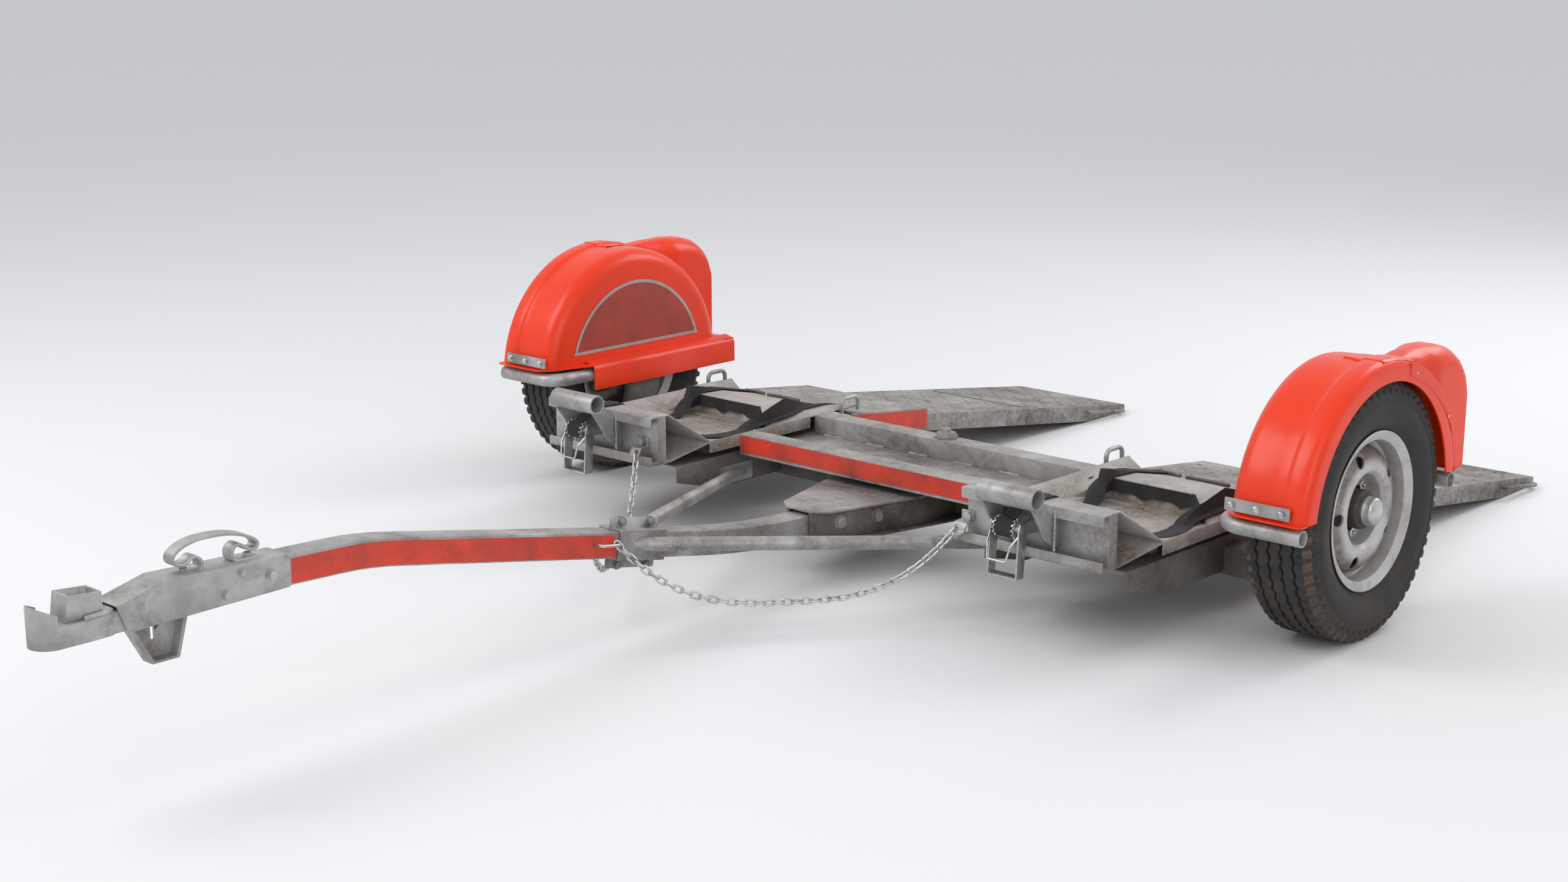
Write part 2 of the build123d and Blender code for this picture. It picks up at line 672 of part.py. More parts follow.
def build_tray(side, s):
    """Inverted tray under each pan; its skirts sit over the axle beam."""
    x = pan_x[side]
    low, high = x + tray_x[0], x + tray_x[1]
    skirt = [(tray_front_y, tray_nose_z), (tray_front_y, tray_top), (tray_rear_y, tray_top), (tray_rear_y, tray_low_z),
             (beam_front + beam_depth, tray_low_z), (beam_front + beam_depth, beam_top), (beam_front, beam_top),
             (beam_front, tray_low_z), (tray_slope_y, tray_low_z)]
    with BuildPart() as tray:
        for start in (low, high - tray_sheet):
            slab(side_view(start), skirt, tray_sheet)
        brick((low, high), (tray_front_y, tray_rear_y), (tray_top - tray_sheet, tray_top))
    save(tray, f"tray_{side}")


def build_deck(side, s):
    """Sloping deck between hump and ramp, with side walls that carry the ramp's pins."""
    x = pan_x[side]
    t = deck_sheet
    low, high = x + deck_x[0], x + deck_x[1]
    top = [(deck_front_y, deck_front_z - t), (deck_rear_y, deck_rear_z - t), (deck_rear_y, deck_rear_z), (deck_front_y, deck_front_z)]
    wall = [(tray_rear_y, deck_bottom), (deck_rear_y, deck_bottom), (deck_rear_y, deck_rear_z), (deck_front_y, deck_front_z - t),
            (tray_rear_y, deck_front_z - t)]
    with BuildPart() as deck:
        slab(side_view(low), top, high - low)
        for start in (low, high - t):
            slab(side_view(start), wall, t)
        brick((low, high), (tray_rear_y, tray_rear_y + t), (deck_bottom, deck_front_z - t))
        with Locations(Plane(origin=(low, axle_y + ramp_pivot_y, ramp_pivot_z), z_dir=(1, 0, 0))):
            Cylinder(ramp_pin_radius + pin_clearance, high - low, align=(Align.CENTER, Align.CENTER, Align.MIN), mode=Mode.SUBTRACT)
    save(deck, f"deck_{side}")


def build_ramp(side, s):
    """Folded loading ramp that turns on two stub pins and lies on the ground at its far end."""
    middle = pan_x[side] + (deck_x[0] + deck_x[1]) / 2
    low, high = middle - ramp_width / 2, middle + ramp_width / 2
    rise = tan(radians(ramp_slope))
    half = ramp_depth / 2 / cos(radians(ramp_slope))
    front = ramp_pivot_y - ramp_front_reach

    def centre(y):
        """Height of the ramp's centre line."""
        return ramp_pivot_z - (y - ramp_pivot_y) * rise

    touch_y = ramp_pivot_y + (ramp_pivot_z - half) / rise
    outline = [(front, centre(front) - half), (touch_y, 0), (ramp_end_y, 0), (ramp_end_y, centre(ramp_end_y) + half),
               (front, centre(front) + half)]
    inner = [(front - 1, centre(front - 1) - 2 * half), (ramp_end_y + 1, centre(ramp_end_y + 1) - 2 * half),
             (ramp_end_y + 1, centre(ramp_end_y + 1) + half - ramp_sheet), (front - 1, centre(front - 1) + half - ramp_sheet)]
    with BuildPart() as ramp:
        slab(side_view(low), outline, ramp_width)
        slab(side_view(low + ramp_sheet), inner, ramp_width - 2 * ramp_sheet, mode=Mode.SUBTRACT)
        for y in ramp_rib_y:
            brick((low + ramp_sheet, high - ramp_sheet), (y - ramp_rib_sheet / 2, y + ramp_rib_sheet / 2),
                  (centre(y) - half + ramp_rib_rise, centre(y) + half - ramp_sheet / 2 - 1))
        wall = middle - (pan_x[side] + deck_x[0])
        for m in (-1, 1):
            with Locations(Plane(origin=(middle + m * (ramp_width / 2 - ramp_sheet), axle_y + ramp_pivot_y, ramp_pivot_z), z_dir=(m, 0, 0))):
                Cylinder(ramp_pin_radius, wall - ramp_width / 2 + ramp_sheet, align=(Align.CENTER, Align.CENTER, Align.MIN))
        reach = high + ramp_handle_reach
        ends = [(high - ramp_sheet / 2, y, centre(y) + half / 3) for y in ramp_handle_y]
        corners = [(reach, y, centre(y) + half / 3) for y in ramp_handle_y]
        rod([ends[0], corners[0], corners[1], ends[1]], ramp_handle_radius, 14)
    save(ramp, f"ramp_{side}")


def build_loops():
    """Tie-down loops welded to the outer edges of both pans."""
    with BuildPart() as loops:
        for side in pan_x:
            for m in (-1, 1):
                x = pan_x[side] + m * (rim_half + loop_radius)
                rod([(x, loop_y[0], loop_foot), (x, loop_y[0], loop_top), (x, loop_y[1], loop_top), (x, loop_y[1], loop_foot)],
                    loop_radius, 18)
    save(loops, "tie_loops")


def build_beams():
    """Two cross beams between the pans, the plate under them and the pivot."""
    low, high = pan_x["right"] + rim_half, pan_x["left"] - rim_half
    t = platform_wall
    for name, span in (("front_beam", front_beam_y), ("rear_beam", rear_beam_y)):
        with BuildPart() as beam:
            brick((low, high), span, (beam_low, beam_high))
            brick((low, high), (span[0] + t, span[1] - t), (beam_low + t, beam_high - t), mode=Mode.SUBTRACT)
            if span == rear_beam_y:
                with Locations((0, axle_y + pivot_y, beam_low)):
                    Cylinder(pivot_radius + pin_clearance, 2 * beam_high, mode=Mode.SUBTRACT)
        save(beam, name)
    with BuildPart() as plate:
        brick((low, high), (front_beam_y[0], rear_beam_y[1]), (beam_low - base_plate, beam_low))
        with Locations((0, axle_y + pivot_y, beam_low)):
            Cylinder(pivot_radius + pin_clearance, 4 * base_plate, mode=Mode.SUBTRACT)
    save(plate, "base_plate")
    underside = beam_low - base_plate
    with BuildPart() as pivot:
        with Locations((0, axle_y + pivot_y, beam_top + box_plate)):
            Cylinder(pivot_bearing, underside - beam_top - box_plate, align=(Align.CENTER, Align.CENTER, Align.MIN))
            Cylinder(pivot_radius, beam_high - beam_top - box_plate, align=(Align.CENTER, Align.CENTER, Align.MIN))
        with Locations((0, axle_y + pivot_y, beam_high)):
            Cylinder(pivot_cap, 9, align=(Align.CENTER, Align.CENTER, Align.MIN))
            Cylinder(pivot_cap - 5, 15, align=(Align.CENTER, Align.CENTER, Align.MIN))
            Cylinder(pivot_radius, 26, align=(Align.CENTER, Align.CENTER, Align.MIN))
    save(pivot, "pivot_stack")


def mirrored(points):
    """Complete an outline, drawn on its +X side from front to rear, with its mirror image."""
    return list(points) + [(-x, y) for x, y in reversed(points)]


def build_tongue():
    """Bent square tube from the coupler housing to the axle beam."""
    with BuildPart() as tongue:
        with BuildLine(side_view(0)) as path:
            FilletPolyline(tongue_start, tongue_upper_bend, tongue_lower_bend, (beam_front, tongue_lower_bend[1]),
                           radius=(upper_bend_radius, lower_bend_radius))
        with BuildSketch(Plane(origin=path.line @ 0, x_dir=(1, 0, 0), z_dir=path.line % 0)) as section:
            Rectangle(tongue_width, tongue_height)
            Rectangle(tongue_width - 2 * tongue_wall, tongue_height - 2 * tongue_wall, mode=Mode.SUBTRACT)
        sweep(section.sketch, path=path.wire())
    save(tongue, "tongue")


def build_tongue_box():
    """Plates above, below and beside the tongue that join it to the axle beam."""
    t = box_plate
    top = [(box_nose_half, box_nose_y), (box_shoulder_half, box_shoulder_y), (box_rear_half, box_flare_y),
           (box_rear_half, box_top_end_y)]
    foot = [(box_foot_nose_half, box_nose_y), (box_foot_shoulder_half, box_shoulder_y), (box_foot_rear_half, box_foot_flare_y),
            (box_foot_rear_half, beam_front + beam_depth)]
    nose, rear = box_side_nose, box_side_rear
    cheek = [(nose, box_nose_y), (nose + t, box_nose_y), box_side_bend, (rear, box_flare_y), (rear, beam_front),
             (rear - t, beam_front), (rear - t, box_flare_y + t / 2), (box_side_bend[0] - t, box_side_bend[1] + t / 2),
             (nose, box_nose_y + t)]
    with BuildPart() as plate:
        slab(top_view(beam_top), mirrored(top), t)
    save(plate, "tongue_plate_top")
    with BuildPart() as plate:
        slab(top_view(beam_bottom - t), mirrored(foot), t)
    save(plate, "tongue_plate_bottom")
    with BuildPart() as sides:
        for m in (-1, 1):
            slab(top_view(beam_bottom), [(m * x, y) for x, y in cheek], beam_top - beam_bottom)
    save(sides, "tongue_plate_sides")


def build_coupler():
    """Ball coupler: head with socket and shroud, latch box, housing, bow handle and foot bracket."""
    nose_centre_y = nose_y + head_half
    neck = tongue_width / 2
    with BuildPart() as head:
        with Locations((0, axle_y + nose_centre_y, head_bottom)):
            Cylinder(head_half, head_top - head_bottom, align=(Align.CENTER, Align.CENTER, Align.MIN))
        sides = [(head_half, nose_centre_y), (head_half, head_taper_y), (head_half - 3, head_neck_y - 6), (neck, head_neck_y),
                 (neck, tongue_start[0] - 5)]
        slab(top_view(head_bottom), mirrored(sides), head_top - head_bottom)
        slab(side_view(-neck), [(head_step_y, head_top), (head_step_y, latch_bottom), (head_neck_y, latch_bottom + 2),
                                (head_neck_y, head_top)], 2 * neck)
        brick((-neck + socket_wall, neck - socket_wall), head_hollow_y, (head_bottom, head_top - socket_wall),
              mode=Mode.SUBTRACT)
        socket = ball_radius + socket_clearance
        with Locations((0, axle_y + nose_centre_y, head_bottom + ball_depth)):
            Sphere(socket, mode=Mode.SUBTRACT)
            Cylinder(socket, ball_depth, align=(Align.CENTER, Align.CENTER, Align.MAX), mode=Mode.SUBTRACT)
        with BuildSketch(top_view(head_top)) as ring:
            with Locations((0, nose_centre_y)):
                Circle(head_half)
                Circle(head_half - shroud_sheet, mode=Mode.SUBTRACT)
            with Locations((0, nose_centre_y - shroud_sheet)):
                Rectangle(2 * head_half, 2 * head_half, align=(Align.CENTER, Align.MIN), mode=Mode.SUBTRACT)
        extrude(ring.sketch, amount=shroud_top - head_top)
        slab(side_view(-head_half), [(nose_y - 1, shroud_top + 1), (nose_y - 1, shroud_top - 2), (nose_centre_y, shroud_top - 22),
                                     (nose_centre_y, shroud_top + 1)], 2 * head_half, mode=Mode.SUBTRACT)
    save(head, "coupler_head")
    with BuildPart() as latch:
        slab(side_view(-latch_half), [(latch_y[0], head_top), (head_step_y, head_top), (head_step_y, latch_bottom),
                                      (latch_y[1], latch_bottom + 1.5), (latch_y[1], latch_top - 6), (latch_y[0] + 8, latch_top)],
             2 * latch_half)
        t = shroud_sheet
        slab(side_view(-latch_half + t), [(latch_y[0] + t, latch_bottom + t), (latch_y[1] - t, latch_bottom + 2 * t),
                                          (latch_y[1] - t, latch_top + 1), (latch_y[0] + 8 + t, latch_top + 1)],
             2 * (latch_half - t), mode=Mode.SUBTRACT)
    save(latch, "coupler_latch")
    inner = neck + housing_gap
    outer = inner + housing_wall
    t = housing_wall
    shell = [(head_rear_y, head_bottom - 4), housing_nose_top, (housing_bend_y, housing_bend_z), (housing_rear_y, housing_rear_z),
             (housing_rear_y, head_bottom + 3)]
    hollow = [(head_rear_y - 40, head_bottom - 5), (housing_nose_top[0] - 20, housing_nose_top[1] - t - 5),
              (housing_bend_y, housing_bend_z - t), (housing_rear_y + 20, housing_rear_z - t - 0.7), (housing_rear_y + 20, head_bottom - 5)]
    with BuildPart() as housing:
        slab(side_view(-outer), shell, 2 * outer)
        slab(side_view(-inner), hollow, 2 * inner, mode=Mode.SUBTRACT)
    save(housing, "coupler_housing")
    slope = (housing_bend_z - housing_rear_z) / (housing_rear_y - housing_bend_y)
    bow_plane = Plane(origin=(0, axle_y + bow_y, housing_rear_z + slope * (housing_rear_y - bow_y)), x_dir=(1, 0, 0),
                      z_dir=(0, -1, slope))
    with BuildPart() as bow:
        with BuildSketch(bow_plane) as strip:
            with BuildLine():
                Polyline(*bow_path)
                offset(amount=handle_strip / 2)
            make_face()
        extrude(strip.sketch, amount=handle_strip_width / 2, both=True)
    save(bow, "bow_handle")
    with BuildPart() as foot:
        outline = [(foot_y[0], head_bottom), (foot_y[3], head_bottom), (foot_y[2], foot_bottom), (foot_y[1], foot_bottom)]
        t = foot_sheet
        slab(side_view(-foot_half), outline, 2 * foot_half)
        slab(side_view(-foot_half + t), [(foot_y[0] + 2 * t, head_bottom - t), (foot_y[3] - 2 * t, head_bottom - t),
                                         (foot_y[2] - t, foot_bottom + t), (foot_y[1] + t, foot_bottom + t)],
             2 * foot_half, mode=Mode.SUBTRACT)
        brick((-foot_half, foot_half), foot_slot_y, foot_slot_z, mode=Mode.SUBTRACT)
    save(foot, "foot_bracket")


def build_clamp():
    """Two half shells bolted round the tongue, and the chain eyes in front of them."""
    lean = radians(clamp_lean)
    middle = Vector(0, axle_y + clamp_middle[0], clamp_middle[1])
    normal = Vector(0, -cos(lean), sin(lean))
    length = clamp_y[1] - clamp_y[0]
    half = tongue_width / 2 + clamp_gap
    high = tongue_height / 2 + clamp_gap
    t = clamp_sheet
    ear = high + t + clamp_flange
    section = [(0, ear), (t, ear), (t, high + t), (half + t, high + t), (half + t, -high - t), (t, -high - t), (t, -ear), (0, -ear),
               (0, -high), (half, -high), (half, high), (0, high)]
    for side, s in (("left", 1), ("right", -1)):
        with BuildPart() as shell:
            with BuildSketch(Plane(origin=middle, x_dir=(1, 0, 0), z_dir=normal)) as outline:
                with BuildLine():
                    Polyline(*[(s * x, z) for x, z in section], close=True)
                make_face()
            extrude(outline.sketch, amount=length / 2, both=True)
        save(shell, f"tongue_clamp_{side}")
    with BuildPart() as eyes:
        for s in (-1, 1):
            face = s * (tongue_width / 2)
            rod([(face, *eye_front), (s * eye_reach, *eye_front), (s * eye_reach, *eye_rear), (face, *eye_rear)], eye_radius, 9)
    save(eyes, "chain_eyes")


def build_brace(side, s):
    """Tube from the clamp to a tab on the inner skirt of one tray."""
    face = tongue_width / 2 + clamp_gap + clamp_sheet
    skirt = pan_x[side] + (tray_x[0] if s > 0 else tray_x[1])
    tab = skirt - s * brace_tab
    start = Vector(s * face, *brace_start)
    end = Vector(tab, (brace_tab_y[0] + brace_tab_y[1]) / 2, (brace_tab_z[0] + brace_tab_z[1]) / 2)
    along = (end - start).normalized()
    with BuildPart() as brace:
        rod([tuple(start - along * 30), tuple(end + along * 30)], brace_radius, bore=brace_bore)
        brick((0, s * face), (-1300, -900), (0, 400), mode=Mode.SUBTRACT)
        brick((tab, tab + s * 60), (-400, 0), (0, 400), mode=Mode.SUBTRACT)
        brick((tab, skirt), brace_tab_y, brace_tab_z)
    save(brace, f"brace_{side}")


def build_tab(side, s):
    """Tab bolted to the channel's web, bent forward; the chain's last link passes through its eye."""
    outer = tab_eye_radius + tab_rim
    low, high = sorted((tab_bolt_x[side] + s * (outer + 2), tab_eye_x[side] - s * outer))
    back = web_front_y - tab_sheet / 2
    lean = radians(tab_lean)
    with BuildPart() as tab:
        with BuildSketch(side_view(low)) as strip:
            with BuildLine():
                Polyline((back, tab_bolt_z + outer), (back, tab_knee_z), (tab_shelf_y, tab_shelf_z),
                         (tab_y - outer * sin(lean), tab_eye_z - outer * cos(lean)))
                offset(amount=tab_sheet / 2)
            make_face()
        extrude(strip.sketch, amount=high - low)
        with Locations(Plane(origin=(tab_eye_x[side], axle_y + tab_y, tab_eye_z), z_dir=(0, -cos(lean), sin(lean)))):
            Cylinder(tab_eye_radius, 3 * tab_sheet, mode=Mode.SUBTRACT)
    save(tab, f"chain_tab_{side}")


def build_chain(side, s):
    """Safety chain of interlocked links, hung from the tongue's eye to the channel's tab."""
    start = Vector(s * eye_hook_x, *eye_rear)
    end = Vector(tab_eye_x[side], tab_y, tab_eye_z)
    samples = 400

    def sagging(a, b, t):
        """Point of the hanging curve between two ends."""
        return a + (b - a) * t - Vector(0, 0, chain_sag * (1 - abs(2 * t - 1) ** 3))

    reach_first = (sagging(start, end, 0.001) - start).normalized() * 6.0
    reach_last = (end - sagging(start, end, 0.999)).normalized() * 3.75
    a, b = start - reach_first, end - reach_last
    points = [sagging(a, b, k / samples) for k in range(samples + 1)]
    lengths = [0.0]
    for p, q in zip(points, points[1:]):
        lengths.append(lengths[-1] + (q - p).length)
    count = ceil(lengths[-1] / (link_inner - link_slack))
    spacing = lengths[-1] / count

    def node(k):
        """Where two neighbouring links touch."""
        place = min(k * spacing, lengths[-1])
        index = max(i for i in range(samples) if lengths[i] <= place)
        part = (place - lengths[index]) / (lengths[index + 1] - lengths[index])
        return points[index] + (points[index + 1] - points[index]) * part

    level = Vector(0, 0, 1).cross(b - a).normalized()
    nodes = [node(k) for k in range(count + 1)]
    tangents = [(q - p).normalized() for p, q in zip(nodes, nodes[1:])]

    def roll(tangent, direction):
        """Angle about the tangent of a wanted direction, from the level normal."""
        direction = Vector(direction)
        return degrees(atan2(direction.dot(tangent.cross(level)), direction.dot(level)))

    first = roll(tangents[0], (1, 0, 0))
    last = roll(tangents[-1], (0, cos(radians(tab_lean)), -sin(radians(tab_lean)))) + 90.0 - 90.0 * (count - 1)
    twist = (last - first + 90.0) % 180.0 - 90.0
    x, y, wire = link_inner / 2, link_half_width, link_wire
    cut = wire
    ring = [(x + wire, y + wire - cut), (x + wire - cut, y + wire), (-x - wire + cut, y + wire), (-x - wire, y + wire - cut),
            (-x - wire, -y - wire + cut), (-x - wire + cut, -y - wire), (x + wire - cut, -y - wire), (x + wire, -y - wire + cut)]
    with BuildPart() as chain:
        for k, tangent in enumerate(tangents):
            angle = radians(first + twist * k / (count - 1) + 90.0 * k)
            normal = level * cos(angle) + tangent.cross(level) * sin(angle)
            centre = (nodes[k] + nodes[k + 1]) * 0.5 + Vector(0, axle_y, 0)
            with BuildSketch(Plane(origin=centre, x_dir=tangent, z_dir=normal)) as link:
                with BuildLine():
                    Polyline(*ring, close=True)
                make_face()
                Rectangle(2 * x, 2 * y, mode=Mode.SUBTRACT)
            extrude(link.sketch, amount=wire / 2, both=True)
    save(chain, f"safety_chain_{side}")


for side, s in (("left", 1), ("right", -1)):
    build_tyre(side, s)
    build_rim(side, s)
    build_hub(side, s)
    build_arm(side, s)
    build_fender(side, s)
    build_hood(side, s)
    build_fender_frame(side, s)
    build_channel(side, s)
    build_stop_tube(side, s)
    build_ratchet(side, s)
    build_ratchet_handle(side, s)
    build_strap(side, s)
    build_pan(side, s)
    build_tray(side, s)
    build_deck(side, s)
    build_ramp(side, s)
    build_brace(side, s)
    build_tab(side, s)
    build_chain(side, s)
build_axle()
build_loops()
build_beams()
build_tongue()
build_tongue_box()
build_coupler()
build_clamp()
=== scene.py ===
"""Looks of a two-wheel tow dolly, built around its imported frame.

Every length is in metres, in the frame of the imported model: +X is the dolly's left, +Y its loading
ramps, +Z up. Heights come from the ground, and AXLE_Y is where the axle crosses that frame.
"""

import json
import logging
import math
from dataclasses import dataclass, field
from enum import Enum

import bmesh
import bpy
from mathutils import Matrix, Vector
from mathutils.bvhtree import BVHTree

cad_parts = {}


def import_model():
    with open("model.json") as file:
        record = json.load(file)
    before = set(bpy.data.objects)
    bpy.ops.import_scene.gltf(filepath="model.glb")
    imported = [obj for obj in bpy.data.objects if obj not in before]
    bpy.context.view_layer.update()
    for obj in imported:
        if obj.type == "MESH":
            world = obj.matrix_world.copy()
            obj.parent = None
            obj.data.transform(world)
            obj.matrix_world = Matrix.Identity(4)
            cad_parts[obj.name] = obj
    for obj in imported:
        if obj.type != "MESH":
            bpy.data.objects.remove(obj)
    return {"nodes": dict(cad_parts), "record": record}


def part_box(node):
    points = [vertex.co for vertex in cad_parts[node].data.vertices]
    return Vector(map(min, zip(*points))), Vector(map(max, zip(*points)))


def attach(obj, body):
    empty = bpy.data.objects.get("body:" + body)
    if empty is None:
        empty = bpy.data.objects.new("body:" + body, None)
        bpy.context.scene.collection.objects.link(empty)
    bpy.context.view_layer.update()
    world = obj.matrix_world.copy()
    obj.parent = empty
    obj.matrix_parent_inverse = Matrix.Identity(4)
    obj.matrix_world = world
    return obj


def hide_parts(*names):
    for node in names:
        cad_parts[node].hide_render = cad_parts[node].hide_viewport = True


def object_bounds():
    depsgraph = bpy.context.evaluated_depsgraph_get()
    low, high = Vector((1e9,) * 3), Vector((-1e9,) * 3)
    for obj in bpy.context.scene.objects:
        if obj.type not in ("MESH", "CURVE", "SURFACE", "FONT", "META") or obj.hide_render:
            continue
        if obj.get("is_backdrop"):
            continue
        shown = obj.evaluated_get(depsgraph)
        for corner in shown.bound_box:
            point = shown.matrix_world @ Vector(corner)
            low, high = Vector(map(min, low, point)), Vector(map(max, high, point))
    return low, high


log = logging.getLogger("tow_dolly")

AXLE_Y = 0.4965
HUB_Z = 0.304
WHEEL_X = 1.204
SIDES = (("left", 1), ("right", -1))
PAN_X = {"left": 0.719, "right": -0.687}
SAME_PLACE = 0.00002  # vertices nearer than this are one
HAIR = 0.0003  # how far a thin skin stands off what it lies on
ABOVE_ALL = 1.0  # height that a downward ray starts from
DOWN, UP = Vector((0, 0, -1)), Vector((0, 0, 1))

Outline = tuple[tuple[float, float], ...]


class Slot(Enum):
    """Material slots of the record, passed along with each new piece."""

    TYRE = "tyre"
    RIM = "rim_steel"
    HUB = "hub_steel"
    GALVANISED = "galvanised"
    WEATHERED = "weathered_steel"
    PAN = "pan_steel"
    FENDER = "fender_orange"
    WEBBING = "webbing"
    BRIGHT = "bright_steel"


# ---------------------------------------------------------------------------------------------
# Finishes
# ---------------------------------------------------------------------------------------------


class Shader:
    """Small helper that adds and joins the nodes of one tree."""

    def __init__(self, tree: bpy.types.NodeTree) -> None:
        """Keep the tree that the nodes go into."""
        self.tree = tree

    def add(self, kind: str, **values: object) -> bpy.types.Node:
        """Add a node.

        Args:
            kind: the node's type name.
            values: attributes by name, or input sockets by their name with spaces as underscores.

        Returns:
            The new node.
        """
        node = self.tree.nodes.new(kind)
        for name, value in values.items():
            if hasattr(node, name):
                setattr(node, name, value)
            else:
                node.inputs[name.replace("_", " ")].default_value = value
        return node

    def join(self, source: bpy.types.NodeSocket, target: bpy.types.NodeSocket) -> None:
        """Link an output to an input."""
        self.tree.links.new(source, target)

    def fill(self, node: bpy.types.Node, terms: dict[str | int, object]) -> bpy.types.Node:
        """Give a node's inputs their values.

        Args:
            node: the node.
            terms: by an input's name or number, the value to set or the output to link.

        Returns:
            The same node.
        """
        for key, term in terms.items():
            if isinstance(term, bpy.types.NodeSocket):
                self.join(term, node.inputs[key])
            else:
                node.inputs[key].default_value = term
        return node

    def calc(self, operation: str, *terms: object, clamp: bool = False) -> bpy.types.NodeSocket:
        """Add a math node.

        Args:
            operation: what it does.
            terms: its values or linked outputs, in order.
            clamp: keep the result between 0 and 1.

        Returns:
            The result.
        """
        node = self.add("ShaderNodeMath", operation=operation, use_clamp=clamp)
        return self.fill(node, dict(enumerate(terms))).outputs[0]

    def ranged(
        self, value: object, low: object, high: object, to_low: float = 0.0, to_high: float = 1.0
    ) -> bpy.types.NodeSocket:
        """Map a value from one range to another, and clamp it there."""
        terms = {"Value": value, "From Min": low, "From Max": high, "To Min": to_low, "To Max": to_high}
        return self.fill(self.add("ShaderNodeMapRange"), terms).outputs["Result"]

    def mixed(self, share: object, first: object, second: object) -> bpy.types.NodeSocket:
        """Mix two colours by the share of the second."""
        node = self.add("ShaderNodeMix", data_type="RGBA")
        return self.fill(node, {0: share, 6: first, 7: second}).outputs[2]

    def noise(
        self, place: object, scale: object, detail: float, roughness: float, distortion: float = 0.0
    ) -> bpy.types.NodeSocket:
        """Add noise at a place."""
        node = self.add("ShaderNodeTexNoise", Detail=detail, Roughness=roughness, Distortion=distortion)
        return self.fill(node, {"Vector": place, "Scale": scale}).outputs["Fac"]

    def relief(self, height: object, strength: float, distance: float) -> None:
        """Raise the surface of the material's own shader by a height.

        Args:
            height: the output that gives it.
            strength: how much of it shows.
            distance: the full height.
        """
        bump = self.add("ShaderNodeBump", Strength=strength, Distance=distance)
        self.join(height, bump.inputs["Height"])
        self.join(bump.outputs["Normal"], self.tree.nodes["Principled BSDF"].inputs["Normal"])


class WeatherGroup:
    """Shared shader group: mottled metal or paint under grime that gathers low on the object."""

    NAME = "Weathering"
    INPUTS = (
        ("Base", "NodeSocketColor", (0.5, 0.5, 0.5, 1)),
        ("Mottle", "NodeSocketColor", (0.4, 0.4, 0.4, 1)),
        ("Grime", "NodeSocketColor", (0.08, 0.05, 0.03, 1)),
        ("Grime Amount", "NodeSocketFloat", 0.4),
        ("Low Grime", "NodeSocketFloat", 0.4),
        ("Grime Ceiling", "NodeSocketFloat", 0.40),
        ("Grime Floor", "NodeSocketFloat", 0.02),
        ("Scale", "NodeSocketFloat", 6.0),
        ("Roughness", "NodeSocketFloat", 0.5),
        ("Roughness Spread", "NodeSocketFloat", 0.2),
    )
    OUTPUTS = (
        ("Color", "NodeSocketColor"), ("Roughness", "NodeSocketFloat"),
        ("Height", "NodeSocketFloat"), ("Grime", "NodeSocketFloat"),
    )

    @classmethod
    def place(cls, s: Shader, values: dict[str, object]) -> bpy.types.Node:
        """Place the group in a material.

        Args:
            s: the material's shader helper.
            values: values by the input's name.

        Returns:
            The group's node.
        """
        group = bpy.data.node_groups.get(cls.NAME) or cls.build()
        return s.fill(s.add("ShaderNodeGroup", node_tree=group), values)

    @classmethod
    def build(cls) -> bpy.types.ShaderNodeTree:
        """Build the group with its named inputs and outputs.

        Returns:
            The group.
        """
        tree = bpy.data.node_groups.new(cls.NAME, "ShaderNodeTree")
        for name, kind, value in cls.INPUTS:
            tree.interface.new_socket(name=name, in_out="INPUT", socket_type=kind).default_value = value
        for name, kind in cls.OUTPUTS:
            tree.interface.new_socket(name=name, in_out="OUTPUT", socket_type=kind)
        s = Shader(tree)
        given, out = s.add("NodeGroupInput").outputs, s.add("NodeGroupOutput").inputs
        place = s.add("ShaderNodeTexCoord").outputs["Object"]
        broad = s.noise(place, given["Scale"], 7.0, 0.62)
        fine = s.noise(place, s.calc("MULTIPLY", given["Scale"], 9.0), 5.0, 0.7)
        streak = s.noise(place, s.calc("MULTIPLY", given["Scale"], 0.55), 6.0, 0.75, 0.6)
        tone = s.mixed(s.ranged(broad, 0.38, 0.64), given["Base"], given["Mottle"])
        # Grime: patches of the streaked noise, more of them near the ground
        split = s.add("ShaderNodeSeparateXYZ")
        s.join(place, split.inputs[0])
        low = s.ranged(split.outputs["Z"], given["Grime Ceiling"], given["Grime Floor"])
        amount = s.calc("ADD", s.calc("MULTIPLY", low, given["Low Grime"]), given["Grime Amount"])
        patch = s.calc("ADD", streak, s.calc("MULTIPLY_ADD", amount, 0.5, -0.5))
        grain = s.ranged(fine, 0.3, 0.62, 0.35, 1.0)
        speck = s.calc("MULTIPLY", s.ranged(patch, 0.12, 0.5), grain)
        s.join(s.mixed(speck, tone, given["Grime"]), out["Color"])
        s.join(speck, out["Grime"])
        # Roughness, more of it under grime, and relief
        swing = s.calc("MULTIPLY", given["Roughness Spread"], s.calc("SUBTRACT", fine, 0.5))
        rough = s.calc("ADD", given["Roughness"], swing)
        s.join(s.calc("MULTIPLY_ADD", speck, 0.25, rough, clamp=True), out["Roughness"])
        s.join(fine, out["Height"])
        return tree


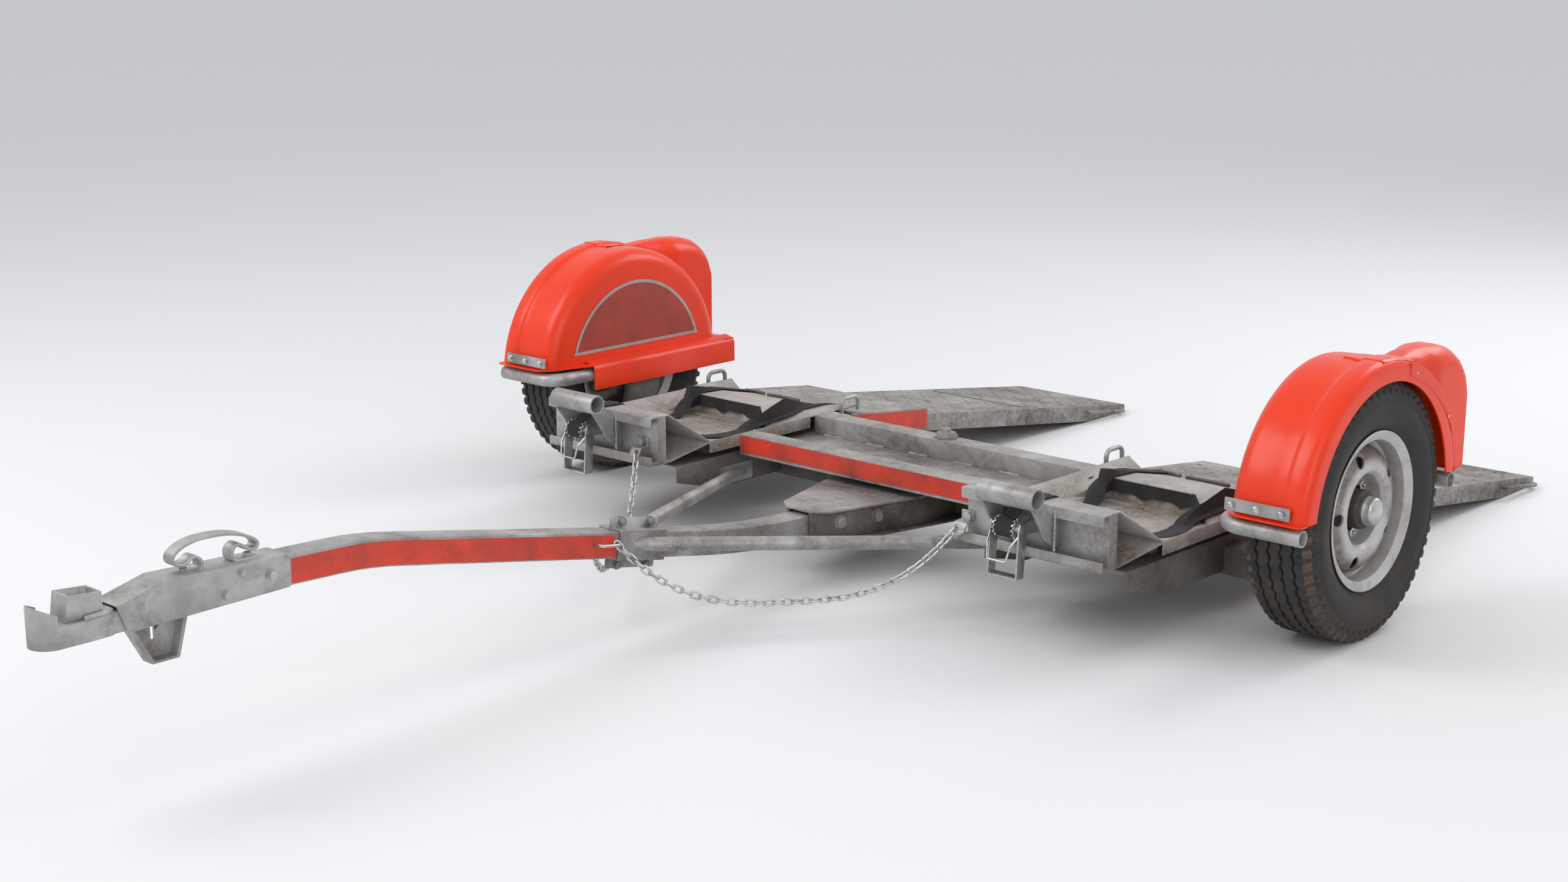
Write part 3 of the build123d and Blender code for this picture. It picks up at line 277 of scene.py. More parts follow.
@dataclass(frozen=True)
class Finish:
    """One weathered finish, as numbers for the shared group and the shader."""

    name: str
    base: tuple[float, float, float]
    mottle: tuple[float, float, float]
    grime: tuple[float, float, float] = (0.055, 0.036, 0.022)
    grime_amount: float = 0.25
    low_grime: float = 0.3
    scale: float = 6.0
    roughness: float = 0.5
    spread: float = 0.25
    metallic: float = 0.0
    relief: float = 0.0012
    coat: float = 0.0
    ceiling: float = 0.40
    floor: float = 0.02
    specular: float = 0.5
    ring: tuple[float, ...] = ()

    def material(self) -> bpy.types.Material:
        """Make the finish a Blender material.

        Returns:
            The material, which is built at its first use.
        """
        made = bpy.data.materials.get(self.name)
        if made:
            return made
        made = bpy.data.materials.new(self.name)
        made.use_nodes = True
        s = Shader(made.node_tree)
        shader = made.node_tree.nodes["Principled BSDF"]
        group = WeatherGroup.place(s, {
            "Base": (*self.base, 1), "Mottle": (*self.mottle, 1), "Grime": (*self.grime, 1),
            "Grime Amount": self.grime_amount, "Low Grime": self.low_grime,
            "Grime Ceiling": self.ceiling, "Grime Floor": self.floor, "Scale": self.scale,
            "Roughness": self.roughness, "Roughness Spread": self.spread,
        })
        colour = group.outputs["Color"]
        s.fill(shader, {
            "Base Color": self.ringed(s, colour) if self.ring else colour,
            "Roughness": group.outputs["Roughness"], "Metallic": self.metallic,
            "Specular IOR Level": self.specular, "Coat Weight": self.coat, "Coat Roughness": 0.12,
        })
        s.relief(group.outputs["Height"], 0.5, self.relief)
        return made

    def ringed(self, s: Shader, colour: bpy.types.NodeSocket) -> bpy.types.NodeSocket:
        """Lay a ring of brown dirt, by the distance from the axle, over a colour.

        Args:
            s: the material's shader helper.
            colour: the colour below.

        Returns:
            The mixed colour.
        """
        place = s.add("ShaderNodeTexCoord").outputs["Object"]
        away = s.add("ShaderNodeVectorMath", operation="SUBTRACT")
        flat = s.add("ShaderNodeVectorMath", operation="MULTIPLY")
        reach = s.add("ShaderNodeVectorMath", operation="LENGTH")
        s.fill(away, {0: place, 1: (0.0, AXLE_Y, HUB_Z)})
        s.fill(flat, {0: away.outputs[0], 1: (0.0, 1.0, 1.0)})
        s.join(flat.outputs[0], reach.inputs[0])
        start, full, fade, end = self.ring
        rise = s.ranged(reach.outputs["Value"], start, full)
        fall = s.ranged(reach.outputs["Value"], end, fade)
        share = s.ranged(s.noise(place, 22.0, 6.0, 0.7), 0.25, 0.6, 0.35, 0.95)
        amount = s.calc("MULTIPLY", s.calc("MULTIPLY", rise, fall), share)
        return s.mixed(amount, colour, (*self.grime, 1))


class Finishes:
    """The dolly's finishes."""

    GALVANISED = Finish(
        "galvanised_steel", base=(0.47, 0.465, 0.455), mottle=(0.29, 0.283, 0.272),
        grime=(0.080, 0.057, 0.040), grime_amount=0.30, low_grime=0.32, scale=9.0, roughness=0.46,
        metallic=0.5,
    )
    BEAM = Finish(
        "platform_steel", base=(0.46, 0.45, 0.435), mottle=(0.32, 0.308, 0.292),
        grime=(0.085, 0.060, 0.042), grime_amount=0.34, low_grime=0.4, scale=7.0, roughness=0.55,
        metallic=0.3,
    )
    PAN = Finish(
        "cradle_steel", base=(0.46, 0.445, 0.42), mottle=(0.34, 0.32, 0.295),
        grime=(0.155, 0.108, 0.073), grime_amount=0.16, low_grime=0.62, scale=9.0, roughness=0.62,
        metallic=0.2, ceiling=0.268, floor=0.230,
    )
    WEATHERED = Finish(
        "undercarriage_steel", base=(0.20, 0.19, 0.18), mottle=(0.12, 0.11, 0.10),
        grime_amount=0.36, scale=8.0, roughness=0.62, metallic=0.3,
    )
    RIM = Finish(
        "wheel_steel", base=(0.56, 0.55, 0.535), mottle=(0.45, 0.435, 0.42),
        grime=(0.115, 0.078, 0.052), grime_amount=0.24, low_grime=0.12, scale=10.0, roughness=0.42,
        metallic=0.4, ring=(0.108, 0.124, 0.146, 0.158),
    )
    HUB = Finish(
        "hub_dirty_steel", base=(0.10, 0.088, 0.076), mottle=(0.055, 0.047, 0.04),
        grime_amount=0.45, scale=18.0, roughness=0.55, metallic=0.5,
    )
    BRIGHT = Finish(
        "plated_steel", base=(0.60, 0.60, 0.59), mottle=(0.40, 0.40, 0.39), grime_amount=0.12,
        low_grime=0.05, scale=22.0, roughness=0.28, metallic=0.9,
    )
    ORANGE = Finish(
        "fender_orange_gloss", base=(0.86, 0.040, 0.003), mottle=(0.78, 0.034, 0.003),
        grime=(0.22, 0.022, 0.008), grime_amount=0.06, low_grime=0.08, scale=4.0, roughness=0.34,
        spread=0.12, relief=0.0003, coat=0.12, specular=0.32,
    )
    RED = Finish(
        "reflective_red", base=(0.72, 0.048, 0.020), mottle=(0.55, 0.040, 0.020),
        grime=(0.12, 0.040, 0.026), grime_amount=0.32, low_grime=0.2, scale=12.0, roughness=0.42,
        spread=0.2,
    )
    PANEL = Finish(
        "fender_panel_red", base=(0.42, 0.050, 0.030), mottle=(0.34, 0.042, 0.028),
        grime=(0.16, 0.05, 0.035), grime_amount=0.3, low_grime=0.1, scale=14.0, spread=0.2,
        relief=0.0002,
    )
    PANEL_EDGE = Finish(
        "fender_panel_grey", base=(0.42, 0.39, 0.37), mottle=(0.36, 0.33, 0.31),
        grime=(0.2, 0.1, 0.08), low_grime=0.1, scale=14.0, spread=0.2, relief=0.0002,
    )
    TYRE = Finish(
        "tyre_rubber", base=(0.026, 0.0245, 0.023), mottle=(0.017, 0.016, 0.015),
        grime=(0.085, 0.064, 0.046), grime_amount=0.22, low_grime=0.25, scale=16.0, roughness=0.72,
        relief=0.0006,
    )
    TYRE_DUST = Finish(
        "tyre_groove_dust", base=(0.135, 0.104, 0.074), mottle=(0.09, 0.068, 0.05),
        grime=(0.04, 0.03, 0.022), grime_amount=0.26, low_grime=0.2, scale=20.0, roughness=0.9,
        spread=0.1,
    )
    LENS = Finish(
        "lamp_red", base=(0.55, 0.01, 0.008), mottle=(0.45, 0.008, 0.006), grime=(0.1, 0.02, 0.01),
        grime_amount=0.08, low_grime=0.0, scale=12.0, roughness=0.16, spread=0.08, relief=0.0001,
        coat=0.6,
    )


class WebbingFinish:
    """Woven strap, with its weave along the piece's own UV map."""

    NAME = "strap_webbing"
    RIBS_PER_METRE = 160.0

    @classmethod
    def material(cls) -> bpy.types.Material:
        """Make the webbing a Blender material.

        Returns:
            The material, which is built at its first use.
        """
        made = bpy.data.materials.get(cls.NAME)
        if made:
            return made
        made = bpy.data.materials.new(cls.NAME)
        made.use_nodes = True
        s = Shader(made.node_tree)
        place = s.add("ShaderNodeUVMap", uv_map="strap")
        ribs = s.add("ShaderNodeTexWave", Scale=1.0, Distortion=0.4, Detail=1.0)
        ribs.bands_direction = "DIAGONAL"
        scale = s.add("ShaderNodeMapping")
        ribbing = (cls.RIBS_PER_METRE, cls.RIBS_PER_METRE, 1.0)
        s.fill(scale, {"Scale": ribbing, "Vector": place.outputs["UV"]})
        s.join(scale.outputs["Vector"], ribs.inputs["Vector"])
        group = WeatherGroup.place(s, {
            "Base": (0.024, 0.023, 0.023, 1), "Mottle": (0.014, 0.0135, 0.013, 1),
            "Grime": (0.06, 0.045, 0.033, 1), "Grime Amount": 0.22, "Low Grime": 0.0,
            "Scale": 14.0, "Roughness": 0.85, "Roughness Spread": 0.1,
        })
        s.fill(made.node_tree.nodes["Principled BSDF"], {
            "Base Color": group.outputs["Color"], "Roughness": group.outputs["Roughness"],
        })
        s.relief(ribs.outputs["Fac"], 0.7, 0.0009)
        return made


# ---------------------------------------------------------------------------------------------
# Mesh tools
# ---------------------------------------------------------------------------------------------


def full_turn(count: int) -> list[float]:
    """Angles of points spread evenly round a circle."""
    return [2 * math.pi * k / count for k in range(count)]


def quarter_turn(steps: int) -> list[float]:
    """Angles of points spread evenly over a rounded corner, both ends included."""
    return [math.radians(90 * k / steps) for k in range(steps + 1)]


def heading(line: list[Vector], i: int) -> Vector:
    """Way from the point before one on a line to the point after it."""
    return line[min(i + 1, len(line) - 1)] - line[max(i - 1, 0)]


class Workshop:
    """Turns points and node trees into finished pieces."""

    @staticmethod
    def piece(
        name: str, mesh: bpy.types.Mesh, finish: bpy.types.Material | None, body: str, slot: Slot,
        replaces: tuple[str, ...] = (),
    ) -> bpy.types.Object:
        """Put a finished mesh on a body.

        Args:
            name: the piece's name.
            mesh: the mesh, already in place in the row's frame.
            finish: the material that it wears, or None where the mesh has its own.
            body: the CAD body that it rides on.
            slot: the record's material slot; not used.
            replaces: CAD nodes that it stands for.

        Returns:
            The new object.
        """
        mesh.name = name
        if finish and not mesh.materials:
            mesh.materials.append(finish)
        made = bpy.data.objects.new(name, mesh)
        bpy.context.scene.collection.objects.link(made)
        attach(made, body)
        if replaces:
            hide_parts(*replaces)
        log.info("%s: %d faces", name, len(mesh.polygons))
        return made

    @staticmethod
    def grid(
        rows: list[list[Vector]], closed_rows: bool = False, closed_columns: bool = False
    ) -> bpy.types.Mesh:
        """Make a mesh from rows of points.

        Args:
            rows: equally long rows of points.
            closed_rows: join the last row to the first.
            closed_columns: join each row's end to its start.

        Returns:
            The mesh, with its normals outward.
        """
        mesh = bpy.data.meshes.new("grid")
        work = bmesh.new()
        points = [[work.verts.new(p) for p in row] for row in rows]
        down = len(rows) if closed_rows else len(rows) - 1
        along = len(rows[0]) if closed_columns else len(rows[0]) - 1
        for i in range(down):
            for j in range(along):
                a, b = points[i], points[(i + 1) % len(rows)]
                k = (j + 1) % len(rows[0])
                corners = (a[j], a[k], b[k], b[j])
                if len(set(corners)) == 4:
                    work.faces.new(corners)
        bmesh.ops.recalc_face_normals(work, faces=work.faces)
        work.to_mesh(mesh)
        work.free()
        return mesh

    @staticmethod
    def smooth(mesh: bpy.types.Mesh, degrees: float = 32.0) -> bpy.types.Mesh:
        """Shade smooth, but keep edges sharper than an angle.

        Args:
            mesh: the mesh, which is changed.
            degrees: the angle.

        Returns:
            The same mesh.
        """
        mesh.shade_smooth()
        mesh.set_sharp_from_angle(angle=math.radians(degrees))
        return mesh

    @staticmethod
    def baked(obj: bpy.types.Object) -> bpy.types.Mesh:
        """Apply the modifiers of a working object.

        Args:
            obj: the object, which is removed.

        Returns:
            Its mesh with the modifiers applied.
        """
        bpy.context.view_layer.update()
        graph = bpy.context.evaluated_depsgraph_get()
        live = obj.evaluated_get(graph)
        mesh = bpy.data.meshes.new_from_object(live, preserve_all_data_layers=True, depsgraph=graph)
        bpy.data.objects.remove(obj)
        return mesh

    @staticmethod
    def loose(mesh: bpy.types.Mesh) -> bpy.types.Object:
        """Give a mesh a working object, for modifiers.

        Args:
            mesh: the mesh.

        Returns:
            The object.
        """
        made = bpy.data.objects.new("work", mesh)
        bpy.context.scene.collection.objects.link(made)
        return made

    @staticmethod
    def capped(mesh: bpy.types.Mesh) -> bpy.types.Mesh:
        """Close the open ends of a swept mesh.

        Args:
            mesh: the mesh, which is changed.

        Returns:
            The same mesh.
        """
        work = bmesh.new()
        work.from_mesh(mesh)
        bmesh.ops.holes_fill(work, edges=[e for e in work.edges if e.is_boundary])
        bmesh.ops.recalc_face_normals(work, faces=work.faces)
        work.to_mesh(mesh)
        work.free()
        return mesh

    @classmethod
    def bolted(
        cls, name: str, places: "Placed", finish: Finish, slot: Slot, sizes: dict[str, float],
        body: str = "frame",
    ) -> None:
        """Put a bolt head with its washer on every place, as one piece.

        Args:
            name: the piece's name.
            places: where the bolts stand.
            finish: their finish.
            slot: the record's material slot.
            sizes: the bolt's sizes by the tree's input names.
            body: the CAD body that they ride on.
        """
        mesh = BOLTS.run(places.mesh(), {**sizes, "Material": finish.material()})
        cls.piece(name, cls.smooth(mesh, 30.0), finish.material(), body, slot)

    @staticmethod
    def bevel(obj: bpy.types.Object, width: float, degrees: float) -> bpy.types.Modifier:
        """Round the edges of an object that are sharper than an angle.

        Args:
            obj: the working object.
            width: width of the rounding.
            degrees: the angle.

        Returns:
            The modifier.
        """
        edge = obj.modifiers.new("edge", "BEVEL")
        edge.width, edge.segments = width, 2
        edge.limit_method, edge.angle_limit = "ANGLE", math.radians(degrees)
        return edge

    @classmethod
    def thick(
        cls, mesh: bpy.types.Mesh, thickness: float, offset: float = -1.0, bevel: float = 0.0
    ) -> bpy.types.Mesh:
        """Give a sheet its thickness.

        Args:
            mesh: the open sheet.
            thickness: the sheet's thickness.
            offset: -1 puts the thickness behind the faces, 1 in front, 0 half and half.
            bevel: radius for its edges, if any.

        Returns:
            The closed mesh.
        """
        work = cls.loose(mesh)
        solid = work.modifiers.new("sheet", "SOLIDIFY")
        solid.thickness, solid.offset = thickness, offset
        if bevel:
            cls.bevel(work, bevel, 40)
        return cls.baked(work)

    @classmethod
    def softened(cls, node: bpy.types.Object, width: float) -> bpy.types.Mesh:
        """Copy a CAD node's mesh, weld its triangles and round its edges.

        Args:
            node: the CAD node's object.
            width: width of the rounding.

        Returns:
            The new mesh.
        """
        mesh = node.data.copy()
        mesh.materials.clear()
        work = bmesh.new()
        work.from_mesh(mesh)
        bmesh.ops.remove_doubles(work, verts=work.verts, dist=SAME_PLACE)
        work.to_mesh(mesh)
        work.free()
        item = cls.loose(mesh)
        cls.bevel(item, width, 38).use_clamp_overlap = True
        return cls.smooth(cls.baked(item), 35.0)


class GeometryTree:
    """A Geometry Nodes tree with named inputs, and the way to run it on points or a curve."""

    def __init__(self, name: str, inputs: dict[str, tuple[str, object]]) -> None:
        """Start a tree.

        Args:
            name: the tree's name.
            inputs: socket type and default value by the input's name.
        """
        self.tree = bpy.data.node_groups.new(name, "GeometryNodeTree")
        face = self.tree.interface
        face.new_socket(name="Geometry", in_out="INPUT", socket_type="NodeSocketGeometry")
        for label, (kind, value) in inputs.items():
            socket = face.new_socket(name=label, in_out="INPUT", socket_type=kind)
            if value is not None:
                socket.default_value = value
        face.new_socket(name="Geometry", in_out="OUTPUT", socket_type="NodeSocketGeometry")
        self.shader = Shader(self.tree)
        self.given = self.shader.add("NodeGroupInput")
        self.out = self.shader.add("NodeGroupOutput")

    def soft(self, socket: bpy.types.NodeSocket) -> bpy.types.NodeSocket:
        """Shade a shape smooth."""
        node = self.shader.add("GeometryNodeSetShadeSmooth")
        return self.shader.fill(node, {"Geometry": socket}).outputs[0]

    def finish(self, socket: bpy.types.NodeSocket) -> None:
        """Realize the instances, set the material and end the tree.

        Args:
            socket: the geometry that the tree gives out.
        """
        real = self.shader.add("GeometryNodeRealizeInstances")
        paint = self.shader.add("GeometryNodeSetMaterial")
        self.shader.join(socket, real.inputs[0])
        material = self.given.outputs["Material"]
        self.shader.fill(paint, {"Geometry": real.outputs[0], "Material": material})
        self.shader.join(paint.outputs[0], self.out.inputs[0])

    def run(self, mesh: bpy.types.Mesh, values: dict[str, object]) -> bpy.types.Mesh:
        """Run the tree over a mesh.

        Args:
            mesh: the points, or the path, that the tree works on.
            values: values by the input's name.

        Returns:
            The mesh that comes out.
        """
        item = Workshop.loose(mesh)
        change = item.modifiers.new("tree", "NODES")
        change.node_group = self.tree
        for socket in self.tree.interface.items_tree:
            is_input = socket.item_type == "SOCKET" and socket.in_out == "INPUT"
            if is_input and socket.name in values:
                change[socket.identifier] = values[socket.name]
        return Workshop.baked(item)


@dataclass
class Placed:
    """Points with a turn and a size each, which a tree puts instances on."""

    places: list[Vector] = field(default_factory=list)
    turns: list[Vector] = field(default_factory=list)
    sizes: list[float] = field(default_factory=list)

    def add(self, place: Vector, normal: Vector, size: float = 1.0, spin: float = 0.0) -> None:
        """Add one point whose instance stands along a normal.

        Args:
            place: the point.
            normal: way that the instance's Z points.
            size: its scale.
            spin: turn about the normal, in radians.
        """
        turn = normal.normalized().to_track_quat("Z", "Y").to_matrix()
        self.add_turned(place, turn @ Matrix.Rotation(spin, 3, "Z"), size)

    def add_turned(self, place: Vector, turn: Matrix, size: float = 1.0) -> None:
        """Add one point with a full turn.

        Args:
            place: the point.
            turn: the instance's rotation.
            size: its scale.
        """
        self.places.append(place)
        self.turns.append(Vector(turn.to_euler("XYZ")))
        self.sizes.append(size)

    def mesh(self) -> bpy.types.Mesh:
        """Make a mesh of the points, with their turns and sizes as attributes.

        Returns:
            The mesh of loose points.
        """
        made = bpy.data.meshes.new("points")
        made.from_pydata([tuple(p) for p in self.places], [], [])
        turn = made.attributes.new("turn", "FLOAT_VECTOR", "POINT")
        turn.data.foreach_set("vector", [c for t in self.turns for c in t])
        size = made.attributes.new("size", "FLOAT", "POINT")
        size.data.foreach_set("value", self.sizes)
        return made


class InstanceTree(GeometryTree):
    """Tree that puts one shape on each placed point."""

    def place(self, shape: bpy.types.NodeSocket) -> None:
        """Instance a shape on the points by their turn and size, and end the tree.

        Args:
            shape: the shape's output.
        """
        s = self.shader
        turn = s.add("GeometryNodeInputNamedAttribute", data_type="FLOAT_VECTOR", Name="turn")
        size = s.add("GeometryNodeInputNamedAttribute", data_type="FLOAT", Name="size")
        points = s.add("GeometryNodeMeshToPoints")
        spread = s.add("GeometryNodeInstanceOnPoints")
        rotation = s.add("FunctionNodeEulerToRotation")
        s.join(self.given.outputs["Geometry"], points.inputs["Mesh"])
        s.join(turn.outputs["Attribute"], rotation.inputs[0])
        s.fill(spread, {
            "Points": points.outputs[0], "Instance": shape, "Rotation": rotation.outputs[0],
            "Scale": size.outputs["Attribute"],
        })
        self.finish(spread.outputs[0])


class BoltTree(InstanceTree):
    """Hex bolt head with its washer and the stub of thread."""

    def __init__(self) -> None:
        """Build the tree."""
        super().__init__("Hex Bolts", {
            "Head Radius": ("NodeSocketFloat", 0.0095), "Head Height": ("NodeSocketFloat", 0.007),
            "Washer Radius": ("NodeSocketFloat", 0.0125), "Washer Height": ("NodeSocketFloat", 0.0018),
            "Material": ("NodeSocketMaterial", None),
        })
        s, given = self.shader, self.given.outputs
        head = s.add("GeometryNodeMeshCylinder", Vertices=6)
        washer = s.add("GeometryNodeMeshCylinder", Vertices=24)
        crown = s.add("GeometryNodeMeshCone", Vertices=18)
        s.fill(head, {"Radius": given["Head Radius"], "Depth": given["Head Height"]})
        s.fill(washer, {"Radius": given["Washer Radius"], "Depth": given["Washer Height"]})
        s.fill(crown, {
            "Radius Bottom": given["Head Radius"], "Depth": 0.0012,
            "Radius Top": s.calc("MULTIPLY", given["Head Radius"], 0.72),
        })
        # A cylinder lies round its middle and a cone stands on its foot
        half_washer = s.calc("MULTIPLY", given["Washer Height"], 0.5)
        half_head = s.calc("MULTIPLY", given["Head Height"], 0.5)
        heights = (
            s.calc("ADD", half_head, given["Washer Height"]),
            half_washer,
            s.calc("ADD", given["Head Height"], given["Washer Height"]),
        )
        group = s.add("GeometryNodeJoinGeometry")
        for source, height in zip((head, washer, crown), heights):
            move = s.fill(s.add("ShaderNodeCombineXYZ"), {"Z": height})
            seat = s.add("GeometryNodeTransform")
            s.fill(seat, {"Geometry": source.outputs["Mesh"], "Translation": move.outputs[0]})
            s.join(seat.outputs[0], group.inputs[0])
        self.place(group.outputs[0])


class LinkTree(InstanceTree):
    """Round-wire chain link."""

    def __init__(self) -> None:
        """Build the tree."""
        super().__init__("Chain Links", {
            "Length": ("NodeSocketFloat", 0.027), "Width": ("NodeSocketFloat", 0.0136),
            "Wire Radius": ("NodeSocketFloat", 0.0024), "Material": ("NodeSocketMaterial", None),
        })
        s, given = self.shader, self.given.outputs
        ring = s.add("GeometryNodeCurvePrimitiveQuadrilateral")
        s.fill(ring, {"Width": given["Length"], "Height": given["Width"]})
        round_off = s.add("GeometryNodeFilletCurve")
        modes = {i.name: i for i in round_off.inputs}
        if "Mode" in modes:
            modes["Mode"].default_value = "Poly"
        else:
            round_off.mode = "POLY"
        bend = s.calc("MULTIPLY", given["Width"], 0.49)
        s.fill(round_off, {"Count": 5, "Radius": bend, "Curve": ring.outputs["Curve"]})
        wire = s.add("GeometryNodeCurvePrimitiveCircle", Resolution=8)
        s.join(given["Wire Radius"], wire.inputs["Radius"])
        solid = s.add("GeometryNodeCurveToMesh")
        s.fill(solid, {"Curve": round_off.outputs["Curve"], "Profile Curve": wire.outputs["Curve"]})
        self.place(self.soft(solid.outputs["Mesh"]))


class MarkTree(InstanceTree):
    """Short raised grip mark, pressed in sheet."""

    def __init__(self) -> None:
        """Build the tree."""
        super().__init__("Grip Marks", {
            "Length": ("NodeSocketFloat", 0.016), "Width": ("NodeSocketFloat", 0.006),
            "Height": ("NodeSocketFloat", 0.0014), "Material": ("NodeSocketMaterial", None),
        })
        s, given = self.shader, self.given.outputs
        drop = s.add("GeometryNodeMeshUVSphere", Segments=14, Rings=6, Radius=1.0)
        half = s.fill(s.add("ShaderNodeCombineXYZ"), {
            "X": s.calc("MULTIPLY", given["Length"], 0.5), "Y": s.calc("MULTIPLY", given["Width"], 0.5),
            "Z": given["Height"],
        })
        shape = s.add("GeometryNodeTransform")
        s.fill(shape, {"Geometry": drop.outputs["Mesh"], "Scale": half.outputs[0]})
        self.place(self.soft(shape.outputs[0]))


class WeldTree(GeometryTree):
    """Weld bead: flattened drops, close together, along a path."""

    def __init__(self) -> None:
        """Build the tree."""
        super().__init__("Weld Bead", {
            "Pitch": ("NodeSocketFloat", 0.004), "Radius": ("NodeSocketFloat", 0.0034),
            "Seed": ("NodeSocketInt", 3), "Material": ("NodeSocketMaterial", None),
        })
        s, given = self.shader, self.given.outputs
        path = s.add("GeometryNodeMeshToCurve")
        s.join(given["Geometry"], path.inputs["Mesh"])
        beads = s.add("GeometryNodeCurveToPoints", mode="LENGTH")
        s.fill(beads, {"Curve": path.outputs["Curve"], "Length": given["Pitch"]})
        drop = s.add("GeometryNodeMeshIcoSphere", Subdivisions=2)
        s.join(given["Radius"], drop.inputs["Radius"])
        vary = s.add("FunctionNodeRandomValue", data_type="FLOAT")
        s.fill(vary, {2: 0.75, 3: 1.15, "Seed": given["Seed"]})
        spread = s.add("GeometryNodeInstanceOnPoints")
        s.fill(spread, {
            "Points": beads.outputs["Points"], "Instance": self.soft(drop.outputs["Mesh"]),
            "Scale": vary.outputs[1],
        })
        self.finish(spread.outputs[0])


# ---------------------------------------------------------------------------------------------
# Sub-assemblies
# ---------------------------------------------------------------------------------------------


@dataclass
class RoadWheel:
    """Tyre, rim, hub and nuts of one wheel."""

    side: str
    s: int
    segments: int = 480
    lugs: int = 60
    notch_share: float = 0.38
    notch_depth: float = 0.0062
    shoulder_from: float = 0.268
    shoulder_fade: float = 0.02
    radius: float = 0.304
    edge_radius: float = 0.3032
    tread_half: float = 0.068
    groove_half: float = 0.0042
    groove_depth: float = 0.008
    groove_sway: float = 0.0030
    groove_places: tuple[float, ...] = (-0.045, -0.015, 0.015, 0.045)
    sidewall: Outline = (
        (0.0775, 0.2945), (0.0820, 0.2850), (0.0852, 0.2740), (0.0868, 0.2650), (0.0862, 0.2640),
        (0.0874, 0.2610), (0.0866, 0.2600), (0.0878, 0.2570), (0.0869, 0.2560), (0.0880, 0.2530),
        (0.0872, 0.2520), (0.0879, 0.2460), (0.0868, 0.2320), (0.0830, 0.2160), (0.0765, 0.2010),
        (0.0700, 0.1925), (0.0690, 0.1880), (0.0660, 0.1860), (0.0648, 0.1800), (0.0605, 0.1690),
        (0.0595, 0.1677), (0.0480, 0.1677), (0.0500, 0.1850), (0.0690, 0.2100), (0.0760, 0.2400),
        (0.0700, 0.2780),
    )
    drum: Outline = (
        (-0.030, 0.0182), (-0.030, 0.067), (-0.028, 0.069), (0.0015, 0.069), (0.0034, 0.0675),
        (0.0034, 0.0182),
    )
    collar: Outline = (
        (0.0087, 0.0190), (0.0087, 0.0455), (0.0460, 0.0455), (0.0500, 0.0448), (0.0532, 0.0420),
        (0.0542, 0.0360), (0.0542, 0.0008), (0.0230, 0.0008), (0.0230, 0.0190),
    )
    cap: Outline = (
        (0.0540, 0.0008), (0.0540, 0.0335), (0.0600, 0.0342), (0.0625, 0.0342), (0.0640, 0.0330),
        (0.0760, 0.0328), (0.0810, 0.0312), (0.0842, 0.0262), (0.0856, 0.0180), (0.0860, 0.0080),
        (0.0860, 0.0008),
    )
    stud_circle: float = 0.058
    studs: int = 5
    first_stud: float = 54.0

    def point(self, x: float, r: float, angle: float) -> Vector:
        """Point of the wheel by its X, its distance from the spindle and its angle."""
        return Vector((x, AXLE_Y + r * math.cos(angle), HUB_Z + r * math.sin(angle)))

    def tread_columns(self) -> list[tuple[float, float, bool]]:
        """List the width and radius of the tread's columns, from -X to +X.

        Returns:
            The columns, each with whether it follows the zigzag.
        """
        columns = [(-self.tread_half, self.edge_radius, False)]
        foot = self.radius - self.groove_depth
        for place in self.groove_places:
            for share, r in ((-1, self.radius), (-0.6, foot), (0.6, foot), (1, self.radius)):
                columns.append((place + share * self.groove_half, r, True))
        columns.append((self.tread_half, self.edge_radius, False))
        return columns

    def section(self, place: float) -> list[tuple[float, float]]:
        """Go once round the tyre's section.

        Args:
            place: share of the way from one lug to the next.

        Returns:
            Width and radius of each point.
        """
        deep = self.notch_depth if place < self.notch_share else 0.0
        sway = self.groove_sway * (4.0 * abs(place - 0.5) - 1.0)
        wall = []
        for w, r in self.sidewall:
            shoulder = max(0.0, min(1.0, (r - self.shoulder_from) / self.shoulder_fade))
            cut = 0.0 if (w, r) == self.sidewall[-1] else deep * shoulder
            wall.append((w - 0.8 * cut, r - cut))
        tread = []
        for w, r, sways in self.tread_columns():
            drop = 0.0 if sways else deep
            tread.append((w + (sway if sways else 0.0) - math.copysign(0.5 * drop, w), r - drop))
        return [(-w, r) for w, r in reversed(wall)] + tread + wall

    def tyre(self) -> None:
        """Build the tyre: zigzag grooves, notched shoulders and ribbed sidewalls."""
        per_lug = self.segments // self.lugs
        rows = []
        for k, angle in enumerate(full_turn(self.segments)):
            section = self.section((k % per_lug) / per_lug)
            rows.append([self.point(self.s * WHEEL_X + w, r, angle) for w, r in section])
        mesh = Workshop.grid(rows, closed_rows=True, closed_columns=True)
        mesh.materials.append(Finishes.TYRE.material())
        mesh.materials.append(Finishes.TYRE_DUST.material())
        groove_foot = self.radius - 0.55 * self.groove_depth
        for face in mesh.polygons:
            reach = math.hypot(face.center.y - AXLE_Y, face.center.z - HUB_Z)
            across = abs(face.center.x - self.s * WHEEL_X)
            groove = across < self.tread_half - 0.004 and 0.285 < reach < groove_foot
            notch = 0.0655 < across < 0.0775 and 0.284 < reach < 0.2985
            face.material_index = int(groove or notch)
        name, body = f"tyre_tread_{self.side}", f"wheel_{self.side}"
        Workshop.piece(name, Workshop.smooth(mesh, 30.0), None, body, Slot.TYRE, (f"tyre_{self.side}",))

